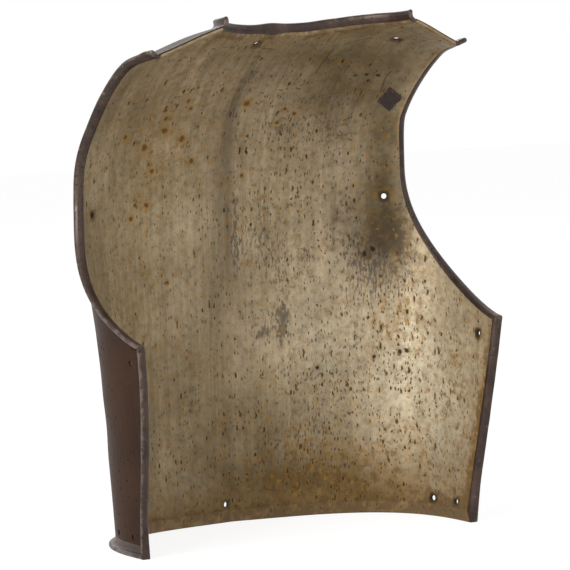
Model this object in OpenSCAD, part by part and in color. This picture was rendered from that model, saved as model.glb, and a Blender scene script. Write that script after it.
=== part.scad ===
// Breastplate of a cuirass: one steel plate, bellied forward to a medial ridge, cut out for the
// neck and the arms, with its edges turned outward as stiff lips. Each formed region of the plate
// is a solid of its own, and they meet face to face. Millimetres; -Y is the front, +X the
// wearer's left, +Z up, and the plate stands on its waist lip.

/* [Ridge line] */
// Depth of the inside of the ridge at the waist, in front of the side plane
waist_depth = 116.5; // [100:0.5:130]
// Depth of the ridge at the flank
flank_depth = 126; // [110:0.5:140]
// Depth of the ridge at the chest, where the plate is fullest
chest_depth = 130; // [115:0.5:145]
// Depth of the ridge at the yoke, where it starts to lean back
yoke_depth = 116; // [100:0.5:128]
// Depth of the ridge line at the collar, just above the neck opening
collar_depth = 54; // [40:0.5:70]
// How far the crown of the shoulders lies behind the side plane
crown_back = 19; // [5:0.5:30]
// Height of the flank above the ground
flank_rise = 172; // [140:1:200]
// Rise from the flank to the chest
chest_rise = 125; // [100:1:150]
// Rise from the chest to the yoke
yoke_rise = 59; // [45:1:75]
// Rise from the yoke to the collar
collar_rise = 64; // [50:1:80]
// Rise from the collar to the crown
crown_rise = 22; // [15:1:30]
// Height of the crease that forms the medial ridge
crease_h = 6; // [0:0.5:12]
// Width over which the crease dies away on each side
crease_w = 40; // [20:1:70]

/* [Width and section] */
// Half width inside at the waist
waist_half_w = 161; // [140:0.5:180]
// Half width inside at the flank
flank_half_w = 175; // [155:0.5:195]
// Half width inside at the chest
chest_half_w = 196; // [170:0.5:215]
// Half width inside at the yoke
yoke_half_w = 190; // [165:0.5:210]
// Half width inside at the collar
collar_half_w = 189; // [165:0.5:210]
// Half width inside at the crown
crown_half_w = 178; // [155:0.5:200]
// Squareness of the level section at the waist, where 2 is an ellipse
waist_square = 2.8; // [2.2:0.1:4]
// Squareness of the level section from the flank up
chest_square = 3.3; // [2.4:0.1:4]
// How far the side edge stands in front of the side plane at the waist
waist_edge_fore = 4.5; // [0:0.5:12]
// How far the side edge lies behind the side plane at the flank
flank_edge_back = 13; // [0:0.5:20]

/* [Armholes] */
// Height of the side edge, where the armhole starts
side_h = 174; // [150:1:190]
// Length over which the armhole curves in, before it runs up to the shoulder
arm_run = 158; // [130:1:180]
// How deep the armhole cuts into the section, where 1 is as far as the ridge
arm_cut = 0.81; // [0.7:0.01:0.86]
// Fullness of the armhole's curve
arm_full = 3.25; // [2:0.05:4]
// Flatness of the armhole's first stretch beside the side edge
arm_flat = 0.8; // [0.6:0.05:1]

/* [Neck and shoulders] */
// Distance down the plate from the crown to the middle of the neck opening
neck_drop = 86; // [70:1:100]
// Distance down the plate from the crown to the ends of the neck opening
neck_end_drop = 10; // [4:1:20]
// Half width of the neck opening
neck_half_w = 96; // [80:1:110]
// Roundness of the neck opening, where 2 is an ellipse
neck_round = 2; // [1.2:0.1:2.6]
// Distance down the plate from the crown to the outer corners of the shoulders
shoulder_drop = 28; // [20:1:40]
// How far the plate is hammered in under the shoulders, which makes their cut edges straight
shoulder_hollow = 3.8; // [0:0.1:6]
// Distance from the ridge at which the hollow of the shoulder has died away
hollow_half_w = 150; // [140:1:170]

/* [Plate] */
// Thickness of the plate
plate_t = 3.2; // [2:0.1:5]

/* [Waist lip] */
// Height of the waist lip, from the ground to where the shell starts
waist_lip_h = 10; // [7:0.5:14]
// How far the waist lip stands out from the plate's outer face
waist_lip_out = 5.5; // [4:0.5:10]
// Thickness of the waist lip's foot
waist_lip_t = 4.2; // [3:0.1:6]
// Rounding of the waist lip's inner edge on the ground
waist_heel_r = 0.8; // [0.2:0.1:1.5]

/* [Side lips] */
// Inside bend radius of the side lips
side_lip_bend = 1; // [0.3:0.1:3]
// Thickness of the side lips
side_lip_t = 4; // [3:0.1:5]
// Flat length of the side lips beyond the bend
side_lip_flat = 3.6; // [3:0.1:10]
// Width of the relief slit between a side lip and the armhole lip
relief_slit = 1; // [0.2:0.1:2]

/* [Armhole lips] */
// Inside bend radius of the armhole lips
arm_lip_bend = 1; // [0.3:0.1:4]
// Thickness of the armhole lips
arm_lip_t = 4.2; // [3:0.1:6]
// Flat length of the armhole lips beyond the bend
arm_lip_flat = 3.5; // [3.2:0.1:10]
// Turn of the armhole lips along the arm, in degrees
arm_lip_turn = 90; // [60:1:100]
// Turn of the left armhole lip where it ends on the shoulder, in degrees
left_end_turn = 60; // [10:1:80]
// Turn of the right armhole lip where it ends on the shoulder, in degrees
right_end_turn = 42; // [10:1:80]
// Flat length of the left armhole lip where it ends on the shoulder
left_end_flat = 6.5; // [5:0.5:14]
// Flat length of the right armhole lip where it ends on the shoulder
right_end_flat = 9; // [5:0.5:14]
// Length over which the armhole lips open out to the shoulder
arm_ease = 80; // [50:1:110]

/* [Neck lip] */
// Inside bend radius of the neck lip
neck_lip_bend = 4; // [1:0.1:6]
// Thickness of the neck lip
neck_lip_t = 4; // [3:0.1:5]
// Flat length of the neck lip beyond the bend
neck_lip_flat = 2.4; // [2.3:0.1:10]
// Turn of the neck lip, in degrees
neck_lip_turn = 90; // [60:1:100]

/* [Holes] */
// Diameter of the punched holes at the waist, the sides and the armholes
hole_d = 4.7; // [3:0.1:7]
// Diameter of the holes at the neck and the shoulder, which are worn wider
top_hole_d = 6; // [3:0.1:8]
// Height of the five waist holes above the ground
waist_hole_h = 15.5; // [13:0.5:25]
// Distance of the outer waist hole forward from the side edge
waist_hole_outer = 17; // [8:0.5:30]
// Distance of the inner waist hole forward from the side edge
waist_hole_inner = 46; // [35:0.5:60]
// Distance of the middle waist hole from the ridge, to the wearer's left
waist_hole_middle = 8; // [5:0.5:20]
// Distance of the side hole down from the top of the side edge
side_hole_drop = 13; // [8:0.5:30]
// Distance of the side hole forward from the side edge
side_hole_fore = 18; // [8:0.5:30]
// Distance of the armhole hole up from the top of the side edge
arm_hole_rise = 97; // [60:1:130]
// Distance of the armhole hole in from the armhole edge, measured across the plate
arm_hole_in = 13.5; // [6:0.5:20]
// Distance of the neck hole below the neck opening
neck_hole_drop = 9; // [7:0.5:20]
// Distance of the neck hole from the ridge, to the wearer's left
neck_hole_side = 9; // [5:0.5:20]
// Distance of the shoulder hole outside the end of the neck opening, on the wearer's right
shoulder_hole_side = 18; // [8:0.5:24]
// Distance of the shoulder hole down the plate from the end of the neck opening
shoulder_hole_drop = 59; // [30:1:70]

/* [Inside patch] */
// Distance of the patch's middle in from the armhole edge, measured across the plate
patch_in = 12; // [11:0.5:30]
// Distance of the patch's middle up from where the armhole stops curving
patch_rise = 42; // [20:1:60]
// Width of the patch across its side corners
patch_w = 18; // [8:0.5:22]
// Height of the patch between its upper and lower corners
patch_h = 29; // [12:0.5:36]
// How far the patch's upper corner leans toward the ridge over its lower one
patch_lean = 8; // [0:0.5:12]
// How far the patch's outer corner stands above its inner one
patch_slant = 12; // [0:0.5:16]
// Thickness of the patch
patch_t = 1; // [0.6:0.1:2]
// Film of glue between the patch and the plate
patch_gap = 0.3; // [0.25:0.05:0.6]

/* [Hidden] */

// Grid of the shell: columns on each side of the ridge, and rows in each stretch from the
// waist up. The neck opening takes the columns next to the ridge.
half_cols = 20;
neck_cols = 12;
side_rows = 7;
arm_rows = 9;
breast_rows = 3;
yoke_rows = 8;
cols = 2 * half_cols;
// The rows of the armhole's curve crowd together beside the side edge by this power
arm_row_power = 1.6;
// The hollow of the shoulder is deepest near the armhole by this power
hollow_power = 4;
// Flat on top of the waist lip's foot, between its rounded tip and its flare
foot_flat = 0.4;
// Faces along a lip's bend and round its tip
bend_steps = 4;
tip_steps = 3;
// Small steps for measuring slopes, in degrees round the section and millimetres up the plate
angle_step = 0.2;
rise_step = 0.5;
patch_cells = 4;
hole_faces = 40;
over = 1;

// Stations up the ridge, each [depth, height], and the distance up the plate to each
ridge = [
    [waist_depth, 0],
    [flank_depth, flank_rise],
    [chest_depth, flank_rise + chest_rise],
    [yoke_depth, flank_rise + chest_rise + yoke_rise],
    [collar_depth, flank_rise + chest_rise + yoke_rise + collar_rise],
    [-crown_back, flank_rise + chest_rise + yoke_rise + collar_rise + crown_rise]
];
last = len(ridge) - 1;
half_widths = [
    waist_half_w, flank_half_w, chest_half_w, yoke_half_w, collar_half_w, crown_half_w
];
squares = [for (k = [0:last]) k == 0 ? waist_square : chest_square];
depths = [
    waist_depth - waist_edge_fore, flank_depth + flank_edge_back,
    chest_depth, chest_depth, chest_depth, chest_depth
];
function distance_to(k) = k == 0 ? 0 : distance_to(k - 1) + norm(ridge[k] - ridge[k - 1]);
station_t = [for (k = [0:last]) distance_to(k)];

// Places up the plate, measured along the ridge
crown_t = station_t[last];
neck_t = crown_t - neck_drop;
neck_end_t = crown_t - neck_end_drop;
shoulder_t = crown_t - shoulder_drop;
arm_end_t = side_h + arm_run;
yoke_t = (arm_end_t + neck_t) / 2;

function unit(v) = v / norm(v);
function mix(a, b, share) = a + (b - a) * share;
function smooth(share) = let (s = min(1, max(0, share))) s * s * (3 - 2 * s);

// Smooth curve through one value for each station, read at distance t up the plate
function slope(v, k) =
    let (a = max(0, k - 1), b = min(last, k + 1))
    (v[b] - v[a]) / (station_t[b] - station_t[a]);
function along(v, t) =
    let (
        k = max([for (j = [0:last - 1]) t >= station_t[j] ? j : 0]),
        h = station_t[k + 1] - station_t[k],
        s = (t - station_t[k]) / h
    )
    (2 * s^3 - 3 * s^2 + 1) * v[k] + (s^3 - 2 * s^2 + s) * h * slope(v, k)
    + (3 * s^2 - 2 * s^3) * v[k + 1] + (s^3 - s^2) * h * slope(v, k + 1);

// Backward lean of the ridge at t, never forward
function lean(t) =
    let (d = along(ridge, t + rise_step) - along(ridge, t - rise_step))
    max(0, atan2(-d[0], d[1]));

// Depth of the hollow of the shoulder, which grows from the yoke to the crown
function hollow(x, t) =
    shoulder_hollow * smooth((t - station_t[last - 2]) / (crown_t - station_t[last - 2]))
    * sin(180 * min(1, x / hollow_half_w)^hollow_power);

// Inside of the plate. The section is a squared ellipse round a middle on the side plane, and
// angle runs from 0 at the ridge to 90 at the side edge.
function inside(angle, t) =
    let (
        n = along(squares, t),
        reach = (abs(sin(angle))^n + abs(cos(angle))^n)^(1 / n),
        x = along(half_widths, t) * sin(angle) / reach,
        fore = cos(angle) / reach,
        crease = crease_h * (1 - exp(-abs(x) / crease_w)) * fore,
        drop = along(depths, t) * (1 - fore) + crease + hollow(abs(x), t),
        p = along(ridge, t),
        tilt = lean(t)
    )
    [x, -(p[0] - drop * cos(tilt)), p[1] - drop * sin(tilt)];
function outward(angle, t) =
    unit(cross(
        inside(angle + angle_step, t) - inside(angle - angle_step, t),
        inside(angle, t + rise_step) - inside(angle, t - rise_step)
    ));

// Angle of the point that lies across at x, or forward of the side edge by a share of the depth
function angle_at_x(x, t) =
    let (n = along(squares, t), across = min(1, abs(x) / along(half_widths, t)))
    sign(x) * atan2(across, (1 - across^n)^(1 / n));
function angle_at_fore(fore, t) =
    let (n = along(squares, t))
    atan2((1 - fore^n)^(1 / n), fore);
function angle_from_edge(distance, t) = angle_at_fore(distance / along(depths, t), t);

// Edge of the armhole: no cut at the side edge, the full cut above its curve
function arm_fore(t) =
    let (left = min(1, max(0, (arm_end_t - t) / arm_run)))
    arm_cut * (1 - left^arm_full)^arm_flat;
function edge_angle(t) = angle_at_fore(arm_fore(t), t);
function edge_x(t) = inside(edge_angle(t), t)[0];

// Top edge, [x, t] at a share of the way from the ridge (0) to the armhole (1)
neck_share = neck_cols / half_cols;
function top_edge(share) =
    share <= neck_share
        ? let (turn = 90 * share / neck_share)
          [
              neck_half_w * sin(turn)^(2 / neck_round),
              mix(neck_end_t, neck_t, cos(turn)^(2 / neck_round))
          ]
        : let (k = (share - neck_share) / (1 - neck_share))
          [mix(neck_half_w, edge_x(shoulder_t), k), mix(neck_end_t, shoulder_t, k)];

// Grid places as [angle, t]: level rows up to the yoke, then rows that spread to the top edge
row_t = [
    for (k = [0:side_rows]) mix(waist_lip_h, side_h, k / side_rows),
    for (k = [1:arm_rows]) side_h + arm_run * (k / arm_rows)^arm_row_power,
    for (k = [1:breast_rows]) mix(arm_end_t, yoke_t, k / breast_rows)
];
rows = len(row_t) - 1 + yoke_rows;
function place(j, i) =
    let (share = (i - half_cols) / half_cols, side = sign(share))
    j < len(row_t)
        ? [share * edge_angle(row_t[j]), row_t[j]]
        : let (
              up = (j - len(row_t) + 1) / yoke_rows,
              top = top_edge(abs(share)),
              t = mix(yoke_t, top[1], up),
              low_x = inside(abs(share) * edge_angle(yoke_t), yoke_t)[0] / edge_x(yoke_t),
              x = mix(low_x, top[0] / edge_x(top[1]), up) * edge_x(t)
          )
          [abs(share) == 1 ? side * edge_angle(t) : angle_at_x(side * x, t), t];
places = [for (j = [0:rows]) [for (i = [0:cols]) place(j, i)]];
inner = [for (row = places) [for (q = row) inside(q[0], q[1])]];
// The lowest row's normals are level, so that the shell ends on one level plane
normals = [
    for (j = [0:rows])
        [
            for (q = places[j])
                let (n = outward(q[0], q[1]))
                unit([n[0], n[1], j == 0 ? 0 : n[2]])
        ]
];
outer = inner + plate_t * normals;

// Solid sheet between two equal grids of points, the first seen from behind
module sheet(back, front) {
    m = len(back) - 1;
    n = len(back[0]) - 1;
    count = (m + 1) * (n + 1);
    function b(j, i) = j * (n + 1) + i;
    function f(j, i) = count + b(j, i);
    polyhedron(
        points = [for (grid = [back, front]) for (row = grid) for (p = row) p],
        faces = [
            for (j = [0:m - 1]) for (i = [0:n - 1]) each [
                [f(j, i), f(j + 1, i), f(j + 1, i + 1)],
                [f(j, i), f(j + 1, i + 1), f(j, i + 1)],
                [b(j, i), b(j, i + 1), b(j + 1, i + 1)],
                [b(j, i), b(j + 1, i + 1), b(j + 1, i)]
            ],
            for (i = [0:n - 1]) each [
                [f(0, i), f(0, i + 1), b(0, i + 1)],
                [f(0, i), b(0, i + 1), b(0, i)],
                [b(m, i), b(m, i + 1), f(m, i)],
                [b(m, i + 1), f(m, i + 1), f(m, i)]
            ],
            for (j = [0:m - 1]) each [
                [f(j, n), f(j + 1, n), b(j + 1, n)],
                [f(j, n), b(j + 1, n), b(j, n)],
                [b(j, 0), b(j + 1, 0), f(j, 0)],
                [b(j + 1, 0), f(j + 1, 0), f(j, 0)]
            ]
        ]
    );
}

// Solid swept through rings of points; mirrored is true where the rings run the other way round
module swept(rings, mirrored) {
    m = len(rings[0]);
    n = len(rings) - 1;
    sides = [
        for (j = [0:n - 1]) for (k = [0:m - 1])
            let (a = j * m + k, b = j * m + (k + 1) % m)
            each [[a, b, b + m], [a, b + m, a + m]]
    ];
    ends = [
        for (k = [0:m / 2 - 2])
            let (a = k, b = k + 1, c = m - 2 - k, d = m - 1 - k, far = n * m)
            each [[d, c, b], [d, b, a], [far + a, far + b, far + c], [far + a, far + c, far + d]]
    ];
    polyhedron(
        points = [for (ring = rings) each ring],
        faces = [
            for (face = concat(sides, ends))
                mirrored ? [for (k = [0:len(face) - 1]) face[len(face) - 1 - k]] : face
        ]
    );
}

// Lip section, [out from the plate's edge, up from its inner face], from the inner corner of the
// root round the tip to the outer corner. The plate thickens to tip_t as it turns.
function turned(turn, bend, flat, tip_t) =
    let (
        radius = bend + tip_t / 2,
        tip = [radius * sin(turn), plate_t / 2 + radius * (1 - cos(turn))]
              + (flat - tip_t / 2) * [cos(turn), sin(turn)]
    )
    [
        for (k = [0:bend_steps]) bend_point(turn, radius, tip_t, k / bend_steps, 1),
        for (k = [0:tip_steps])
            let (around = turn - 90 + 180 * k / tip_steps)
            tip + tip_t / 2 * [cos(around), sin(around)],
        for (k = [0:bend_steps]) bend_point(turn, radius, tip_t, 1 - k / bend_steps, -1)
    ];
function bend_point(turn, radius, tip_t, share, side) =
    let (at = turn * share, half = mix(plate_t, tip_t, share) / 2)
    [radius * sin(at), plate_t / 2 + radius * (1 - cos(at))] + side * half * [sin(at), -cos(at)];

// Waist lip section: straight down inside, flared outside to a foot with a flat sole
function footed() =
    let (
        width = plate_t + waist_lip_out,
        tip_r = waist_lip_t / 2,
        flare_h = waist_lip_h - waist_lip_t,
        flare_top = width - tip_r - foot_flat
    )
    [
        for (k = [0:bend_steps - 1]) [(waist_lip_h - waist_heel_r) * k / (bend_steps - 1), 0],
        [waist_lip_h, waist_heel_r],
        for (k = [0:tip_steps])
            let (around = 180 * k / tip_steps)
            [waist_lip_h - tip_r, width - tip_r] + tip_r * [cos(around), sin(around)],
        for (k = [0:bend_steps])
            let (around = 90 * k / bend_steps)
            [flare_h * cos(around), flare_top - (flare_top - plate_t) * sin(around)]
    ];

// Ring of a lip at a point of the shell's edge; skew slides it along the edge as it goes out
function ring(root, out, up, section, skew = [0, 0, 0]) =
    [for (q = section) root + q[0] * (out + skew) + q[1] * up];
function reach_of(section) = max([for (q = section) q[0]]);

side_section = turned(90, side_lip_bend, side_lip_flat, side_lip_t);
arm_section = turned(arm_lip_turn, arm_lip_bend, arm_lip_flat, arm_lip_t);
neck_section = turned(neck_lip_turn, neck_lip_bend, neck_lip_flat, neck_lip_t);
waist_section = footed();

// A side of the plate: 1 is the wearer's left, -1 the right
function edge_col(side) = side > 0 ? cols : 0;
function edge_run(side, j, first, final) =
    let (i = edge_col(side))
    unit(inner[min(final, j + 1)][i] - inner[max(first, j - 1)][i]);
function edge_out(side, j, first, final) =
    side * unit(cross(edge_run(side, j, first, final), normals[j][edge_col(side)]));

// Level direction out of the side edge at the waist, and the mitre between waist and side lips
function corner_out(side) = side * unit(cross([0, 0, 1], normals[0][edge_col(side)]));
corner_skew = reach_of(side_section) / waist_lip_h;

// Skew that closes the corner between the side and armhole lips down to the relief slit
function mitre(side, section) =
    let (
        a = edge_out(side, side_rows, 0, side_rows),
        b = edge_out(side, side_rows, side_rows, rows)
    )
    tan(acos(a * b) / 2) - relief_slit / 2 / reach_of(section);

function side_rings(side) = [
    for (j = [0:side_rows])
        let (
            root = inner[j][edge_col(side)],
            up = normals[j][edge_col(side)],
            run = edge_run(side, j, 0, side_rows)
        )
        j == 0
            ? ring(root, corner_out(side) * corner_skew, up, waist_section, [0, 0, -1])
            : ring(
                  root, edge_out(side, j, 0, side_rows), up, side_section,
                  j == side_rows ? run * mitre(side, side_section) : [0, 0, 0]
              )
];

// The armhole lip opens out as the edge nears the shoulder
function arm_section_at(side, t) =
    let (share = smooth(1 - (shoulder_t - t) / arm_ease))
    turned(
        mix(arm_lip_turn, side > 0 ? left_end_turn : right_end_turn, share), arm_lip_bend,
        mix(arm_lip_flat, side > 0 ? left_end_flat : right_end_flat, share), arm_lip_t
    );
function arm_rings(side) = [
    for (j = [side_rows:rows])
        ring(
            inner[j][edge_col(side)],
            edge_out(side, j, side_rows, rows),
            normals[j][edge_col(side)],
            arm_section_at(side, places[j][edge_col(side)][1]),
            j == side_rows
                ? -edge_run(side, j, side_rows, rows) * mitre(side, arm_section)
                : [0, 0, 0]
        )
];

waist_rings = [
    for (i = [0:cols])
        ring(
            inner[0][i], [0, 0, -inner[0][i][2] / waist_lip_h], normals[0][i], waist_section,
            i == 0 || i == cols ? corner_out(i == 0 ? -1 : 1) * corner_skew : [0, 0, 0]
        )
];

// The neck lip is cut square at its ends
neck_first = half_cols - neck_cols;
neck_last = half_cols + neck_cols;
function neck_run(i) =
    unit(inner[rows][min(neck_last, i + 1)] - inner[rows][max(neck_first, i - 1)]);
function neck_out(i) = unit(cross(normals[rows][i], neck_run(i)));
neck_rings = [
    for (i = [neck_first:neck_last])
        ring(inner[rows][i], neck_out(i), normals[rows][i], neck_section)
];

// The plate is centred from front to back on its outermost points
lip_points = [
    for (rings = [side_rings(1), arm_rings(1), arm_rings(-1), waist_rings, neck_rings])
        for (ring = rings) each ring
];
front_y = min([
    for (row = outer) for (p = row) p[1],
    for (p = lip_points) p[1]
]);
back_y = max([for (p = lip_points) p[1]]);
module placed() {
    translate([0, -(front_y + back_y) / 2, 0]) children();
}

// Holes, each [angle, t, diameter]
function on_both_sides(angle, t) = [[angle, t, hole_d], [-angle, t, hole_d]];
arm_hole_t = side_h + arm_hole_rise;
neck_hole_t = neck_t - neck_hole_drop;
shoulder_hole_t = neck_end_t - shoulder_hole_drop;
holes = concat(
    on_both_sides(angle_from_edge(waist_hole_outer, waist_hole_h), waist_hole_h),
    on_both_sides(angle_from_edge(waist_hole_inner, waist_hole_h), waist_hole_h),
    [[angle_at_x(waist_hole_middle, waist_hole_h), waist_hole_h, hole_d]],
    on_both_sides(
        angle_from_edge(side_hole_fore, side_h - side_hole_drop), side_h - side_hole_drop
    ),
    on_both_sides(angle_at_x(edge_x(arm_hole_t) - arm_hole_in, arm_hole_t), arm_hole_t),
    [
        [angle_at_x(neck_hole_side, neck_hole_t), neck_hole_t, top_hole_d],
        [
            angle_at_x(-neck_half_w - shoulder_hole_side, shoulder_hole_t),
            shoulder_hole_t, top_hole_d
        ]
    ]
);
module hole(angle, t, d) {
    up = outward(angle, t);
    translate(inside(angle, t) - over * up)
        rotate([0, acos(up[2]), atan2(up[1], up[0])])
        cylinder(h = plate_t + 2 * over, d = d, $fn = hole_faces);
}

module breast_shell() {
    color("#a39274")
    difference() {
        placed() sheet(inner, outer);
        placed() for (h = holes) hole(h[0], h[1], h[2]);
    }
}

module neck_lip() {
    color("#4a3833") placed() swept(neck_rings, true);
}

module left_armhole_lip() {
    color("#54413a") placed() swept(arm_rings(1), false);
}

module right_armhole_lip() {
    color("#54413a") placed() swept(arm_rings(-1), true);
}

module left_side_lip() {
    color("#5d4739") placed() swept(side_rings(1), false);
}

module right_side_lip() {
    color("#5d4739") placed() swept(side_rings(-1), true);
}

module waist_lip() {
    color("#4f3d36") placed() swept(waist_rings, false);
}

// The patch follows the plate's inside, a film of glue away from it, on the wearer's right
patch_mid_t = arm_end_t + patch_rise;
patch_mid_x = edge_x(patch_mid_t) - patch_in;
function patch_place(j, i) =
    let (
        up = (i + j) / patch_cells - 1,
        across = (i - j) / patch_cells,
        t = patch_mid_t + up * patch_h / 2 + across * patch_slant / 2
    )
    [angle_at_x(up * patch_lean / 2 - patch_mid_x - across * patch_w / 2, t), t];
function patch_layer(depth) = [
    for (j = [0:patch_cells]) [
        for (i = [0:patch_cells])
            let (q = patch_place(j, i))
            inside(q[0], q[1]) - depth * outward(q[0], q[1])
    ]
];
module inside_patch() {
    color("#2a1c18")
    placed() mirror_sheet(patch_layer(patch_gap + patch_t), patch_layer(patch_gap));
}

// A sheet whose columns run toward the wearer's right
module mirror_sheet(back, front) {
    function turned_row(row) = [for (k = [0:len(row) - 1]) row[len(row) - 1 - k]];
    sheet([for (row = back) turned_row(row)], [for (row = front) turned_row(row)]);
}

breast_shell();
neck_lip();
left_armhole_lip();
right_armhole_lip();
left_side_lip();
right_side_lip();
waist_lip();
inside_patch();
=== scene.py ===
import logging
import math
from dataclasses import dataclass, field
from enum import Enum
from functools import cached_property, reduce
from typing import TypeAlias

import bmesh
import bpy
import numpy as np
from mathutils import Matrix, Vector


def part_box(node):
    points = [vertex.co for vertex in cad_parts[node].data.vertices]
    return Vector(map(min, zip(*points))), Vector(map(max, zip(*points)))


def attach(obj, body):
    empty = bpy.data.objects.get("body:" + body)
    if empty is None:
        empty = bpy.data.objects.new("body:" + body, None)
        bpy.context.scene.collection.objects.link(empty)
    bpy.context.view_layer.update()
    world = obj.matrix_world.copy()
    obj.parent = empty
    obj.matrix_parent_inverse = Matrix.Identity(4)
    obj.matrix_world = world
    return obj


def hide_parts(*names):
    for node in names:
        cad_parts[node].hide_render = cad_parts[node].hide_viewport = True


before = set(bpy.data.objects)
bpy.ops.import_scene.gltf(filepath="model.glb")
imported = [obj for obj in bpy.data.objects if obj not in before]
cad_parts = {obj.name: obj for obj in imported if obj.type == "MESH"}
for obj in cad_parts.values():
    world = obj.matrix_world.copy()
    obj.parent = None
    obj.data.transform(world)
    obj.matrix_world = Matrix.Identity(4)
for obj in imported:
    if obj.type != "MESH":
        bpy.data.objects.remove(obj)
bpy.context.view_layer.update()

Array = np.ndarray
Colour = tuple[float, float, float]
Socket = bpy.types.NodeSocket
Place = tuple[int, int]
Span = tuple[int | slice, int | slice]
Inputs = dict[str | int, object]
Number: TypeAlias = "Value | float"
LOG = logging.getLogger("breastplate")
WHITE: Colour = (1.0, 1.0, 1.0)
MM = 0.001
TORN_PER_METRE = 420.0


class Side(Enum):
    """The wearer's two sides, each with the sign of X there."""

    LEFT = 1
    RIGHT = -1


class Slot(Enum):
    """Names for material slots; nothing in the script uses them."""

    PLATE = "brushed_plate"
    LIP = "lip_plate"
    LEATHER = "patch_leather"


def unit(vectors: Array) -> Array:
    """Scales vectors to length one.

    Args:
        vectors: Any array whose last axis holds the parts of a vector.

    Returns:
        The array with each vector one long.
    """
    return vectors / np.maximum(np.linalg.norm(vectors, axis=-1, keepdims=True), 1e-12)


def smooth(share: Array) -> Array:
    """Eases a share from 0 to 1 with level ends.

    Args:
        share: Shares, held between 0 and 1.

    Returns:
        The eased shares.
    """
    held = np.clip(share, 0.0, 1.0)
    return held * held * (3.0 - 2.0 * held)


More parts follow.
